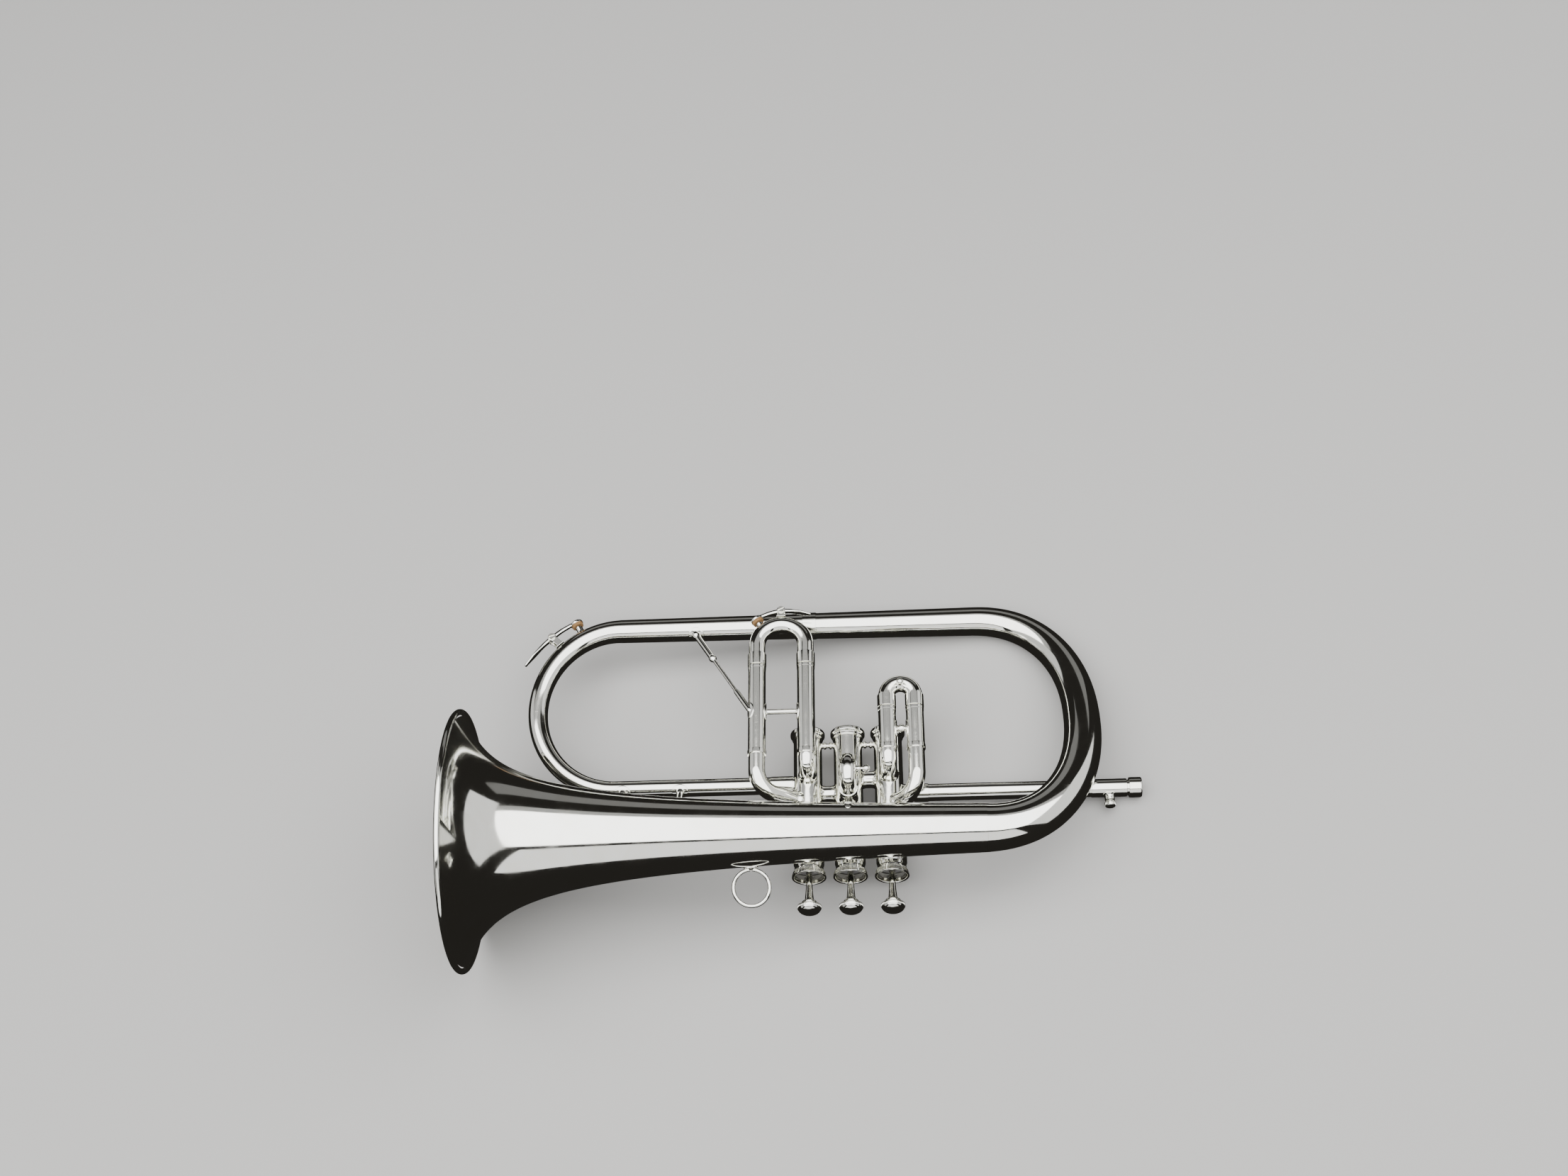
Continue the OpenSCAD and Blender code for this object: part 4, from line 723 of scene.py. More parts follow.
bottomCorners = [(9.1, 82.5, 0.1), (9.8, 82.5, 0.35), (9.8, 84.3, 0.2), (10.4, 84.75, 0.3),
                 (11.0, 85.1, 0.5), (11.0, 87.2, 0.8), (10.2, 87.95, 0.5), (9.3, 87.95, 0.3),
                 (8.9, 87.5, 0.4), (3.2, 87.35, 0.5), (2.6, 88.0, 0.4), (1.2, 88.0, 0.2),
                 (1.2, 86.4, 0.1), (8.2, 86.4, 0.1), (8.2, 84.5), (9.1, 84.5)]
addPiece("valve_bottom_caps", atEachValve(bottomCorners, capSides), "horn", "bottom_caps")

topCorners = [(10.1, -13.38, 0.25), (10.7, -13.1, 0.25), (10.62, -12.6, 0.2), (9.45, -8.9, 0.3),
              (9.2, -8.3, 0.3), (8.95, -7.2, 0.8), (8.95, -5.2, 0.5), (9.5, -4.6, 0.3), (9.5, -3.5, 0.3),
              (9.2, -3.02, 0.2), (8.1, -3.0), (8.1, 1.0, 0.1), (7.3, 1.0, 0.1), (7.3, -3.0),
              (2.45, -3.0, 0.1), (2.45, -4.6, 0.1), (8.2, -4.6, 0.3), (9.3, -13.1, 0.3)]
capBand = {"radius": 10.02, "count": 84, "ridge": (0.24, 0.3, 1.75), "slope": -0.31, "y": -10.75}
capBands = [knurl(capBand, (x, capBand["y"], valveZ), alongY) for x in valveXs.values()]
addPiece("valve_top_caps", atEachValve(topCorners, capSides) + capBands, "horn", "top_caps")
feltCorners = [(2.9, -7.6, 0.2), (7.8, -7.6, 0.6), (7.8, -4.62, 0.2), (2.9, -4.62, 0.2)]
addPiece("top_cap_felts", atEachValve(feltCorners, feltSides), "horn", "cap_felts", valveFelt)

knuckles = {"places": ((12.75, 53.5), (-12.75, 44.0)), "braceY": 78.5,
            "flare": ((4.6, 6.4), (3.6, 5.75), (2.6, 5.4), (1.6, 5.25))}
knuckleShells = []
for middle, y in knuckles["places"]:
    flareIn = [(middle - d, r) for d, r in knuckles["flare"]]
    flareOut = [(middle + d, r) for d, r in reversed(knuckles["flare"])]
    knuckleShells.append(runX(y, flareIn + flareOut))
addPiece("valve_knuckle_tubes", knuckleShells, "horn", "valve_knuckles")

rodHalf = [(0, -4.2), (2.5, -4.2), (2.1, -3.55, 0.3), (1.5, -3.1, 0.3), (1.5, -2.75, 0.2), (2.2, -2.3, 0.4),
           (2.35, -1.8, 0.5), (2.2, -1.3, 0.4), (1.4, -0.75, 0.4)]
rodCorners = rodHalf + mirrored(rodHalf)
rodPlaces = [(x, knuckles["braceY"], valveZ) for x, y in knuckles["places"]]
addPiece("casing_brace_rods", [turned(rodCorners, place, alongX, postSides) for place in rodPlaces],
         "horn", "casing_braces")
print("valves made")

# Pistons' felts, stems, finger buttons and springs, one set for each valve
buttonBand = {"radius": 7.3, "count": 66, "ridge": (0.24, 0.3, 0.95), "y": -32.7}
spring = {"coilR": 5.6, "wireR": 0.5, "turns": 6.0, "start": 63.2, "end": 85.9, "keep": 0.28}
coilInputs = {"Coil Radius": spring["coilR"], "Wire Radius": spring["wireR"], "Turns": spring["turns"],
              "Height": spring["end"] - spring["start"], "Finish": springSteel}
stemCorners = [(0, 1.35), (2.05, 1.35), (2.05, -9.0, 1.0), (1.85, -13.0, 2.0), (2.0, -18.0, 3.0),
               (2.3, -22.5, 3.0), (2.8, -27.6, 1.5), (2.85, -28.75), (0, -28.75)]
buttonCorners = [(0, -28.6), (2.7, -28.6), (3.0, -28.7, 0.1), (4.4, -28.85, 0.3), (4.65, -29.3, 0.3),
                 (4.65, -30.4, 0.3), (4.3, -30.8, 0.25), (4.2, -31.15, 0.2), (6.7, -31.35, 0.3),
                 (7.35, -31.7, 0.3), (7.35, -33.7, 0.3), (7.05, -34.0, 0.2), (6.9, -34.4, 0.3),
                 (6.2, -35.4, 0.8), (4.6, -36.5, 1.2), (2.4, -37.05, 1.2), (0, -37.2)]
pistonFeltCorners = [(2.2, -2.65, 0.2), (6.9, -2.65, 0.4), (6.9, 1.33, 0.2), (2.2, 1.33, 0.2)]
for i, x in valveXs.items():
    axis = (x, 0, valveZ)
    body = f"valve_{i}"
    addPiece(f"valve_stem_rod_{i}", [turned(stemCorners, axis, alongY, postSides)], body, f"valve_stem_{i}")
    buttonShells = [turned(buttonCorners, axis, alongY, buttonSides),
                    knurl(buttonBand, (x, buttonBand["y"], valveZ), alongY)]
    addPiece(f"finger_button_top_{i}", buttonShells, body, f"finger_button_{i}")
    feltRing = turned(pistonFeltCorners, axis, alongY, feltSides, loop=True)
    addPiece(f"piston_felt_ring_{i}", [feltRing], body, f"piston_felt_{i}", valveFelt)
    pistonMaterials = frame["nodes"][f"piston_{i}"].data.materials
    pistonMaterials.clear()
    pistonMaterials.append(pistonMetal)
    coil = stood(grow(coilTree, coilInputs), (x, spring["start"], valveZ), alongY)
    springPiece = addPiece(f"valve_spring_coil_{i}", [coil], "horn", f"valve_spring_{i}",
                           springSteel)
    springEnd = placed([(x, spring["end"] + spring["wireR"], valveZ)])[0]
    tuple(springEnd)
    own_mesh(springPiece)
print("buttons and springs made")

# Slides: sleeves with elbows into the casings, inner tubes and bows
slides = {
    "first": {"valve": 1, "legs": (valveXs[1], 43.0), "ports": (53.0, 34.5), "ring": 63.0, "sleeve": 92.5,
              "bow": 101.5},
    "third": {"valve": 3, "legs": (valveXs[3], -56.7), "ports": (53.0, 38.0), "ring": 61.5, "sleeve": 125.5,
              "bow": 141.0},
}
slideTube = {"bends": (7.5, 13.0), "sides": 56, "bowSteps": 64, "elbowSteps": 28}


def runY(legX, stations):
    return tube([(legX, y, legZ) for y, r in stations], [r for y, r in stations], slideTube["sides"])


def runZ(y, stations):
    return tube([(0, y, z) for z, r in stations], [r for z, r in stations], slideTube["sides"])


def sleeveRun(valveX, legX, portY, bend, ringY, sleeveY):
    drop = np.array([valveX - legX, 0, valveZ - legZ])
    reach = np.linalg.norm(drop)
    into = drop / reach
    leg = np.array([legX, 0, legZ])
    lipR = ringR - 0.17
    stations = [(sleeveY, sleeveR - 0.25), (sleeveY, lipR - 0.2), (sleeveY - 0.2, lipR),
                (sleeveY - 2.05, lipR), (sleeveY - 2.25, sleeveR), (ringY + 3.2, sleeveR),
                (ringY + 3.0, ringR - 0.12), (ringY + 2.85, ringR), (ringY + 0.15, ringR),
                (ringY, ringR - 0.15), (ringY - 0.02, tubeR), (portY + bend + 0.2, tubeR)]
    points = [leg + alongY * (y - 0.004 * k) for k, (y, r) in enumerate(stations)]
    radii = [r for y, r in stations]
    for a in np.linspace(0, math.pi / 2, slideTube["elbowSteps"]):
        rise, inward = portY + bend - bend * math.sin(a), bend - bend * math.cos(a)
        points.append(leg + alongY * rise + into * inward)
        radii.append(tubeR)
    # The end closes in rings and is then hollowed to lie within the casing's wall
    stop = reach - casingR
    flangeR = tubeR + 0.9
    end = [(2.4, tubeR), (1.4, tubeR + 0.12), (0.6, tubeR + 0.4), (-0.4, flangeR), (-1.9, flangeR)]
    end += [(-1.91 - 0.01 * k, flangeR * (1 - k / 8)) for k in range(8)]
    for back, r in end:
        if stop - back > bend + 0.1:
            points.append(leg + alongY * portY + into * (stop - back))
            radii.append(r)
    made, faces = tube(points, radii, slideTube["sides"])
    away = (made - np.array([valveX, 0, valveZ])) * [1, 0, 1]
    depth = -away @ into
    aside = np.linalg.norm(away + depth[:, None] * into, axis=1)
    wallR = casingR - 0.4
    short = np.sqrt(np.maximum(0, wallR ** 2 - aside ** 2)) - depth
    made -= np.where((short > 0) & (aside < wallR), short, 0)[:, None] * into
    return made, faces


def innerTube(legX, ringY, sleeveY, bowY):
    stations = [(ringY + 0.4, slideR - 0.15), (ringY + 0.6, slideR), (sleeveY + 0.3, slideR),
                (sleeveY + 0.35, ringR - 0.2), (sleeveY + 0.55, ringR), (sleeveY + 8.8, ringR)]
    if sleeveY + 9.0 >= bowY:
        return runY(legX, stations + [(bowY, ringR)])
    return runY(legX, stations + [(sleeveY + 9.0, ringR - 0.15), (sleeveY + 9.02, tubeR), (bowY, tubeR)])


def halfBow(middle, radius, first, second):
    around = np.linspace(0, math.pi, slideTube["bowSteps"])
    points = [np.array(middle) + radius * (math.cos(a) * first + math.sin(a) * second) for a in around]
    return tube(points, tubeR, slideTube["sides"])


for name, s in slides.items():
    s["middle"], s["half"] = sum(s["legs"]) / 2, abs(s["legs"][0] - s["legs"][1]) / 2
    valveX, body = valveXs[s["valve"]], f"{name}_slide"
    sleeves = [sleeveRun(valveX, leg, port, bend, s["ring"], s["sleeve"])
               for leg, port, bend in zip(s["legs"], s["ports"], slideTube["bends"])]
    inners = [innerTube(leg, s["ring"], s["sleeve"], s["bow"]) for leg in s["legs"]]
    bow = halfBow((s["middle"], s["bow"], legZ), s["half"], alongX, alongY)
    addPiece(f"{name}_slide_sleeve_tubes", sleeves, "horn", f"{name}_slide_sleeves")
    addPiece(f"{name}_slide_inner_tubes", inners, body, f"{name}_slide_tubes")
    addPiece(f"{name}_slide_u_bow", [bow], body, f"{name}_slide_bow")
first, third = slides["first"], slides["third"]
outerLegX = third["legs"][1]

second = {"legs": (37.5, 55.0), "casingZ": -28.0, "sleeveZ": -20.0, "bowZ": -16.15}
secondMid = sum(second["legs"]) / 2
secondR = (second["legs"][1] - second["legs"][0]) / 2
casingZ, sleeveZ, bowZ = second["casingZ"], second["sleeveZ"], second["bowZ"]
secondSleeve = [(casingZ - 4.5, sleeveR + 0.8), (casingZ - 0.6, sleeveR + 0.5),
                (casingZ + 0.5, sleeveR + 0.15), (casingZ + 1.4, sleeveR),
                (sleeveZ - 0.2, sleeveR), (sleeveZ, sleeveR - 0.2)]
secondInner = [(casingZ + 0.4, slideR), (sleeveZ + 0.33, slideR), (sleeveZ + 0.36, ringR - 0.35),
               (sleeveZ + 0.55, ringR - 0.18), (bowZ - 0.2, ringR - 0.18), (bowZ, ringR - 0.35)]
addPiece("second_slide_sleeve_tubes", [runZ(y, secondSleeve) for y in second["legs"]], "horn",
         "second_slide_sleeves")
addPiece("second_slide_inner_tubes", [runZ(y, secondInner) for y in second["legs"]], "second_slide",
         "second_slide_tubes")
addPiece("second_slide_u_bow", [halfBow((0, secondMid, bowZ), secondR, -alongY, alongZ)], "second_slide",
         "second_slide_bow")

knobs = {"lean": math.radians(20), "firstNeck": 1.4, "secondNeck": 3.9, "ballR": 2.3, "seat": 5.3}


# A pull knob: a foot, a bead, a waist and a ball
def knob(foot, axis, neck):
    ballR = knobs["ballR"]
    corners = [(0, -0.7), (2.0, -0.7), (1.75, 0.1, 0.3), (1.25, 0.7, 0.3), (1.7, 1.2, 0.3), (1.75, 1.6, 0.3),
               (1.65, 2.1, 0.3), (1.0, 2.6, 0.4), (0.95, neck + 0.2, 0.3)]
    middle = neck + ballR
    for a in np.linspace(0.45, math.pi, 14)[:-1]:
        corners.append((ballR * math.sin(a), middle - ballR * math.cos(a)))
    corners.append((0, middle + ballR))
    return turned(corners, foot, axis, smallSides)


firstWay = np.array([0, -math.sin(knobs["lean"]), math.cos(knobs["lean"])])
firstFoot = np.array([first["middle"], first["bow"] + first["half"], legZ]) + firstWay * knobs["seat"]
secondFoot = (knobs["seat"], secondMid, bowZ + secondR)
addPiece("first_slide_pull_knob", [knob(firstFoot, firstWay, knobs["firstNeck"])], "first_slide",
         "first_slide_knob")
addPiece("second_slide_pull_knob", [knob(secondFoot, alongX, knobs["secondNeck"])], "second_slide",
         "second_slide_knob")

slideStays = {"thirdY": 92.5, "firstY": 78.0, "foot": (6.0, 3.6), "footH": 0.5}


# A rod between a slide's two sleeves, with a bead in its middle or none
def stayBetween(slide, y, bead):
    half = slide["half"] - sleeveR + 0.4
    corners = [(0, -half), (2.5, -half), (2.2, -half + 0.7, 0.3), (1.65, -half + 1.5, 0.5)]
    middle = []
    if bead:
        corners += [(1.5, -1.9, 0.3), (2.5, -1.2, 0.5)]
        middle = [(2.75, 0, 0.8)]
    shells = [turned(corners + middle + mirrored(corners), (slide["middle"], y, legZ), alongX, postSides)]
    for x, out in zip(sorted(slide["legs"]), (alongX, -alongX)):
        shells.append(saddleFoot((x, y, legZ), alongY, out, lambda a: sleeveR, slideStays["foot"],
                                 slideStays["footH"]))
    return shells


addPiece("third_slide_stay_rod", stayBetween(third, slideStays["thirdY"], False), "horn", "third_slide_stay")
addPiece("first_slide_stay_rod", stayBetween(first, slideStays["firstY"], True), "horn", "first_slide_stay")
print("slides made")

# Leadpipe, mouthpipe and lock screw
lead = {"startX": 33.3, "endX": 173.5, "sleeveL": 22.0, "sleeveR": 5.75, "bore": 4.95, "lockX": 162.5,
        "bossR": 3.1, "bossBore": 1.6, "bossY": 34.75}
pipe = {"r": 4.9, "bore": 4.2, "receiverR": 4.5, "start": 50.0, "barrelX": 174.85, "barrelR": 6.4,
        "endX": 182.85, "mouthX": 160.85}
leadBase = (0, leadY, valveZ)
sleeveX, sleeveEnd, leadSleeveR = lead["endX"] - lead["sleeveL"], lead["endX"], lead["sleeveR"]
leadCorners = [(leadR + 0.7, lead["startX"]), (leadR + 0.4, 34.7, 0.5), (leadR, 36.2, 0.8), (leadR, sleeveX),
               (leadSleeveR - 0.12, sleeveX + 0.02), (leadSleeveR, sleeveX + 0.2),
               (leadSleeveR, sleeveEnd - 0.2), (leadSleeveR - 0.2, sleeveEnd), (lead["bore"], sleeveEnd),
               (lead["bore"], lead["startX"])]
bossR, bossEnd = lead["bossR"], lead["bossY"] - leadY
bossCorners = [(lead["bossBore"], -5.0), (bossR + 1.2, -5.0), (bossR + 0.5, -leadSleeveR - 0.1, 0.5),
               (bossR, -leadSleeveR - 0.9, 0.3), (bossR, bossEnd, 0.3), (lead["bossBore"], bossEnd)]
boss = turned(bossCorners, (lead["lockX"], leadY, valveZ), alongY, postSides, loop=True)
leadTube = turned(leadCorners, leadBase, alongX, pipeSides, loop=True)
addPiece("leadpipe_tube", [leadTube, boss], "horn", "leadpipe")

pipeR, pipeBore, barrelX, barrelR = pipe["r"], pipe["bore"], pipe["barrelX"], pipe["barrelR"]
pipeCorners = [(pipeBore, pipe["start"]), (pipeR, pipe["start"], 0.1), (pipeR, barrelX), (5.5, barrelX, 0.1),
               (barrelR - 0.1, barrelX, 0.6), (barrelR, barrelX + 1.6, 0.6),
               (barrelR, pipe["endX"] - 1.0, 0.5), (barrelR - 0.4, pipe["endX"] - 0.1, 0.3),
               (5.1, pipe["endX"], 0.3), (pipe["receiverR"], pipe["endX"] - 0.7, 0.2),
               (pipe["receiverR"], pipe["mouthX"]), (pipeBore, pipe["mouthX"])]
pipeTube = turned(pipeCorners, leadBase, alongX, pipeSides, loop=True)
addPiece("mouthpipe_tube", [pipeTube], "mouthpipe", "mouthpipe")

screw = {"headY": 34.4, "headL": 4.0, "r": 3.3, "threadR": 1.5, "tip": 38.2}
screwBand = {"radius": screw["r"], "count": 30, "ridge": (0.2, 0.26, 1.3), "y": screw["headY"] - 2.05}
headEnd, headR, tip = -screw["headL"], screw["r"], screw["tip"] - screw["headY"]
screwCorners = [(0, headEnd), (1.4, headEnd + 0.15, 0.3), (headR - 0.5, headEnd + 0.1, 0.3),
                (headR, headEnd + 0.6, 0.3), (headR, -0.7, 0.3), (headR - 0.6, -0.1, 0.3), (2.0, 0, 0.2),
                (screw["threadR"], 0.2), (screw["threadR"], tip - 0.3, 0.2), (1.0, tip), (0, tip)]
screwShells = [turned(screwCorners, (lead["lockX"], screw["headY"], valveZ), alongY, postSides),
               knurl(screwBand, (lead["lockX"], screwBand["y"], valveZ), alongY)]
addPiece("lock_screw_thumb", screwShells, "lock_screw", "lock_screw")
print("leadpipe made")

# Stays from the exit tube and the valves to the bell; their ends stay within the bell's sheet
stays = {"xs": (-106.0, -142.5), "r": 1.8, "beadR": 3.0, "footR": 5.2, "bellH": 0.8, "exitH": 0.7,
         "sunk": 0.25}
stayR, beadR = stays["r"], stays["beadR"]
stayFoot = (stays["footR"], stays["footR"])
stayWay = unit([0, exitY, valveZ])
stayShells = []
for x in stays["xs"]:
    near, far = bellRadius(x), math.hypot(exitY, valveZ) - exitR
    mid = (near + far) / 2
    corners = [(0, near - stays["sunk"]), (3.0, near - stays["sunk"]), (2.6, near + 0.9, 0.6),
               (1.9, near + 2.6, 0.8), (stayR, mid - 4.2), (stayR, mid - 2.9, 0.3), (2.7, mid - 1.6, 0.6),
               (beadR, mid, 0.9), (2.7, mid + 1.6, 0.6), (stayR, mid + 2.9, 0.3), (stayR, mid + 4.2),
               (1.9, far - 2.6, 0.8), (2.6, far - 0.9, 0.6), (3.0, far + 1.5), (0, far + 1.5)]
    stayShells.append(turned(corners, (x, 0, 0), stayWay, postSides))
    stayShells.append(saddleFoot((x, 0, 0), alongX, stayWay, lambda a: bellRadius(x + a), stayFoot,
                                 stays["bellH"]))
    stayShells.append(saddleFoot((x, exitY, valveZ), alongX, -stayWay, lambda a: exitR, stayFoot,
                                 stays["exitH"]))
addPiece("bell_stay_posts", stayShells, "horn", "bell_stays")

valveStay = {"plate": 0.9, "half": 4.5, "angles": (-72.0, 62.0), "lean": math.radians(-50), "r": 1.8}
leanWay = np.array([0, math.cos(valveStay["lean"]), math.sin(valveStay["lean"])])
fromTurn, toTurn = (math.radians(a) for a in valveStay["angles"])
middleTurn = (fromTurn + toTurn) / 2
plateOut = np.array([0, math.cos(middleTurn), math.sin(middleTurn)])
plateHalves = (valveStay["half"], (toTurn - fromTurn) / 2 * bellRadius(0))
reach = valveZ / leanWay[2]
startR, rodR = bellRadius(0), valveStay["r"]
stayCorners = [(0, startR - stays["sunk"]), (3.0, startR - stays["sunk"]), (2.6, startR + 1.6, 0.6),
               (rodR, startR + 3.2, 0.8), (rodR, reach - 12.0, 0.8), (2.4, reach - 9.8, 0.5),
               (2.9, reach - 8.4), (0, reach - 8.4)]
addPiece("valve_stay_plate", [
    saddleFoot((0, 0, 0), alongX, plateOut, bellRadius, plateHalves, valveStay["plate"]),
    turned(stayCorners, (0, 0, 0), leanWay, postSides)], "horn", "valve_stay")

# The little-finger ring on its neck and foot
ring = {"x": -59.5, "lean": math.radians(27), "wireR": 1.15, "midR": 10.95, "away": 32.5,
        "wireSides": 20, "foot": (4.6, 3.1), "footH": 0.9, "sunk": 0.3}
ringOut = np.array([0, -math.cos(ring["lean"]), -math.sin(ring["lean"])])
ringAxis = np.array([0, -math.sin(ring["lean"]), math.cos(ring["lean"])])
ringBase = np.array([ring["x"], 0, 0])
bellSide = bellRadius(ring["x"])
ringCorners = wireRing(ring["midR"], ring["wireR"], ring["wireSides"])
neckCorners = [(0, bellSide - ring["sunk"]), (3.2, bellSide - ring["sunk"]), (2.5, bellSide + 1.0, 0.5),
               (1.35, bellSide + 1.9, 0.4), (1.1, bellSide + 2.6), (0, bellSide + 2.6)]
addPiece("little_finger_hook", [
    turned(ringCorners, ringBase + ringOut * ring["away"], ringAxis, capSides, loop=True),
    turned(neckCorners, ringBase, ringOut, smallSides),
    saddleFoot(ringBase, alongX, ringOut, lambda a: bellRadius(ring["x"] + a), ring["foot"], ring["footH"]),
], "horn", "little_finger_ring")

# The diagonal brace from the lower tube to the third slide's outer sleeve
brace = {"x": -98.0, "y": 92.0, "lean": math.radians(30), "seat": math.radians(40), "flange": (5.4, 5.4),
         "flangeH": 0.9, "seatPlate": (5.6, 3.2), "seatH": 0.5}
braceOut = np.array([0, -math.cos(brace["lean"]), math.sin(brace["lean"])])
braceShare = (brace["x"] + bows["frontX"]) / (bows["frontX"] + bows["jointX"])
braceTubeR = bows["lowerR"][1] + (bows["lowerR"][0] - bows["lowerR"][1]) * braceShare
braceAxis = np.array([brace["x"], wrapY, valveZ])
braceFoot = braceAxis + braceTubeR * braceOut
seatOut = np.array([-math.cos(brace["seat"]), 0, math.sin(brace["seat"])])
seatAxis = np.array([outerLegX, brace["y"], legZ])
braceWay = seatAxis + sleeveR * seatOut - braceFoot
braceL = np.linalg.norm(braceWay)
thick, thin = 0.32 * braceL, 0.76 * braceL
braceCorners = [(0, -3.0), (3.2, -3.0), (3.0, 1.2, 0.6), (2.2, 3.0, 0.9), (2.05, 5.0), (2.0, thick - 2.2),
                (2.25, thick - 1.6, 0.3), (2.5, thick - 0.6, 0.5), (2.5, thick + 0.5, 0.5),
                (2.1, thick + 1.5, 0.6), (1.2, thick + 2.4, 0.5), (1.15, thin - 1.4, 0.5),
                (1.7, thin - 0.5, 0.4), (1.8, thin + 0.6, 0.5), (1.8, braceL - 1.4),
                (1.5, braceL + 0.4, 0.6), (0.7, braceL + 1.6, 0.5), (0, braceL + 1.8)]
addPiece("diagonal_brace_rod", [
    turned(braceCorners, braceFoot, braceWay, postSides),
    saddleFoot(braceAxis, alongX, braceOut, lambda a: braceTubeR, brace["flange"], brace["flangeH"]),
    saddleFoot(seatAxis, alongY, seatOut, lambda a: sleeveR, brace["seatPlate"], brace["seatH"]),
], "horn", "diagonal_brace")

# The stay from the leadpipe up to the rear bow
leadStay = {"r": 1.8, "foot": (4.4, 3.4), "footH": 0.8, "sunk": 0.38}
stayTurn = math.acos((1 - 2 * leadY / wrapY) ** (bows["rearSquare"] / 2))
underBow = rearBowAt(stayTurn)
topZ = underBow[2] - rearBowRadius(stayTurn) * bowSpan / wrapY
footZ = valveZ + leadR - leadStay["sunk"]  # within the leadpipe's wall
postCorners = [(0, footZ), (2.0, footZ), (leadStay["r"], footZ + 2.2, 0.6), (leadStay["r"], topZ - 3.2, 0.6),
               (2.5, topZ - 1.0, 0.5), (3.2, topZ + 0.8), (0, topZ + 0.8)]
addPiece("leadpipe_stay_post", [
    turned(postCorners, (underBow[0], leadY, 0), alongZ, smallSides),
    saddleFoot((underBow[0], leadY, valveZ), alongX, alongZ, lambda a: leadR, leadStay["foot"],
               leadStay["footH"])], "horn", "leadpipe_stay")
print("stays made")

# Water keys, each in its own frame: a from cork to touch, b along the pin, c out from the tube
keys = {
    "third": {"pinH": 4.6, "base": 0.0, "corkArm": 14.4, "touchArm": 19.0, "seatZ": -3.4, "nippleL": 6.4,
              "touchZ": 2.6, "head": -1},
    "front": {"pinH": 8.4, "base": 0.35, "corkArm": 18.0, "touchArm": 26.0, "seatZ": 2.3, "nippleL": 5.6,
              "touchZ": 6.6, "head": 1},
}
saddleSize = {"gap": 2.2, "cheek": 1.2, "half": 2.9, "cheekHalf": 2.0, "cheekR": 2.75, "bevel": 0.2}
slotHead = {"radius": 2.13, "gap": 0.36, "height": 0.75}
frontTurn = math.radians(42)


def keyShells(origin, axes, key):
    a, b, c = (unit(v) for v in axes)
    origin = np.asarray(origin, float)

    def at(along, up):
        return origin + along * a + up * c

    pinH, base, gap, cheek = key["pinH"], key["base"], saddleSize["gap"], saddleSize["cheek"]
    halfPin, bevel = (pinH - base) / 2, saddleSize["bevel"]
    saddle = [block(at(0, base + 0.35), (a, b, c), (saddleSize["half"], gap + cheek, 0.5), bevel)]
    cheekR = saddleSize["cheekR"]
    cheekCorners = [(0, -cheek / 2), (cheekR, -cheek / 2, 0.3), (cheekR, cheek / 2, 0.3), (0, cheek / 2)]
    for side in (-1, 1):
        aside = side * (gap + cheek / 2) * b
        saddle.append(block(at(0, base + halfPin) + aside, (a, b, c),
                            (saddleSize["cheekHalf"], cheek / 2, halfPin), bevel))
        saddle.append(turned(cheekCorners, at(0, pinH) + aside, b, postSides))
    # The nipple, cork and cup lean with the cork's path about the pin
    lean = math.atan2(pinH - key["seatZ"], key["corkArm"])
    out = math.cos(lean) * c - math.sin(lean) * a
    inward = math.cos(lean) * a + math.sin(lean) * c
    seat = at(-key["corkArm"], key["seatZ"])
    foot = -key["nippleL"]
    nippleCorners = [(1.2, foot), (2.8, foot, 0.3), (2.3, foot + 1.6, 0.5), (2.3, -0.25, 0.2), (1.7, 0, 0.1),
                     (1.2, -0.1)]
    saddle.append(turned(nippleCorners, seat, out, smallSides, loop=True))
    # The pin's slotted head is on one side
    head = key["head"] * b
    hinge = at(0, pinH)
    end = gap + cheek
    pinCorners = [(0, -end - 0.5), (0.8, -end - 0.4, 0.15), (0.8, end + 0.1), (1.9, end + 0.12, 0.15),
                  (2.15, end + 0.3, 0.15), (2.15, end + 0.55), (0, end + 0.55)]
    pin = [turned(pinCorners, hinge, head, smallSides)]
    for way in (1, -1):
        pin.append(halfDisc(hinge + head * (end + 0.5), head, way * unit(a + 0.5 * c), **slotHead))
    barrelCorners = [(0, -1.85), (2.0, -1.85, 0.3), (2.0, 1.85, 0.3), (0, 1.85)]
    cupCorners = [(0, 0.3), (3.8, 0.25), (3.85, -0.6), (4.2, -0.6, 0.15), (4.2, 0.8, 0.5), (3.6, 1.5, 0.5),
                  (1.6, 1.75, 0.6), (0, 1.8)]
    lever = [turned(barrelCorners, hinge, b, smallSides),
             turned(cupCorners, seat + 2.75 * out, out, postSides)]
    touch, touchZ, top = key["touchArm"], key["touchZ"], pinH + 0.9
    cupTop = seat + 3.8 * out
    cupEdge = cupTop + 3.8 * inward
    line = [cupTop, cupEdge, (cupEdge + at(-1, top)) / 2 + 0.5 * c, at(0, top), at(0.3 * touch, top - 0.1),
            at(0.65 * touch, top + 0.5 * (touchZ - top)), at(touch, touchZ - 0.2)]
    lever.append(strap(line, b, (2.6, 2.7, 2.8, 3.4, 3.4, 4.8, 2.6), (1.4, 2.2, 2.5, 2.6, 2.2, 1.4, 1.1)))
    corkCorners = [(0, 0), (3.6, 0, 0.3), (3.78, 0.4, 0.3), (3.78, 2.0, 0.2), (3.7, 2.65), (0, 2.65)]
    cork = [turned(corkCorners, seat + 0.35 * out, out, postSides)]
    return saddle, pin, lever, cork


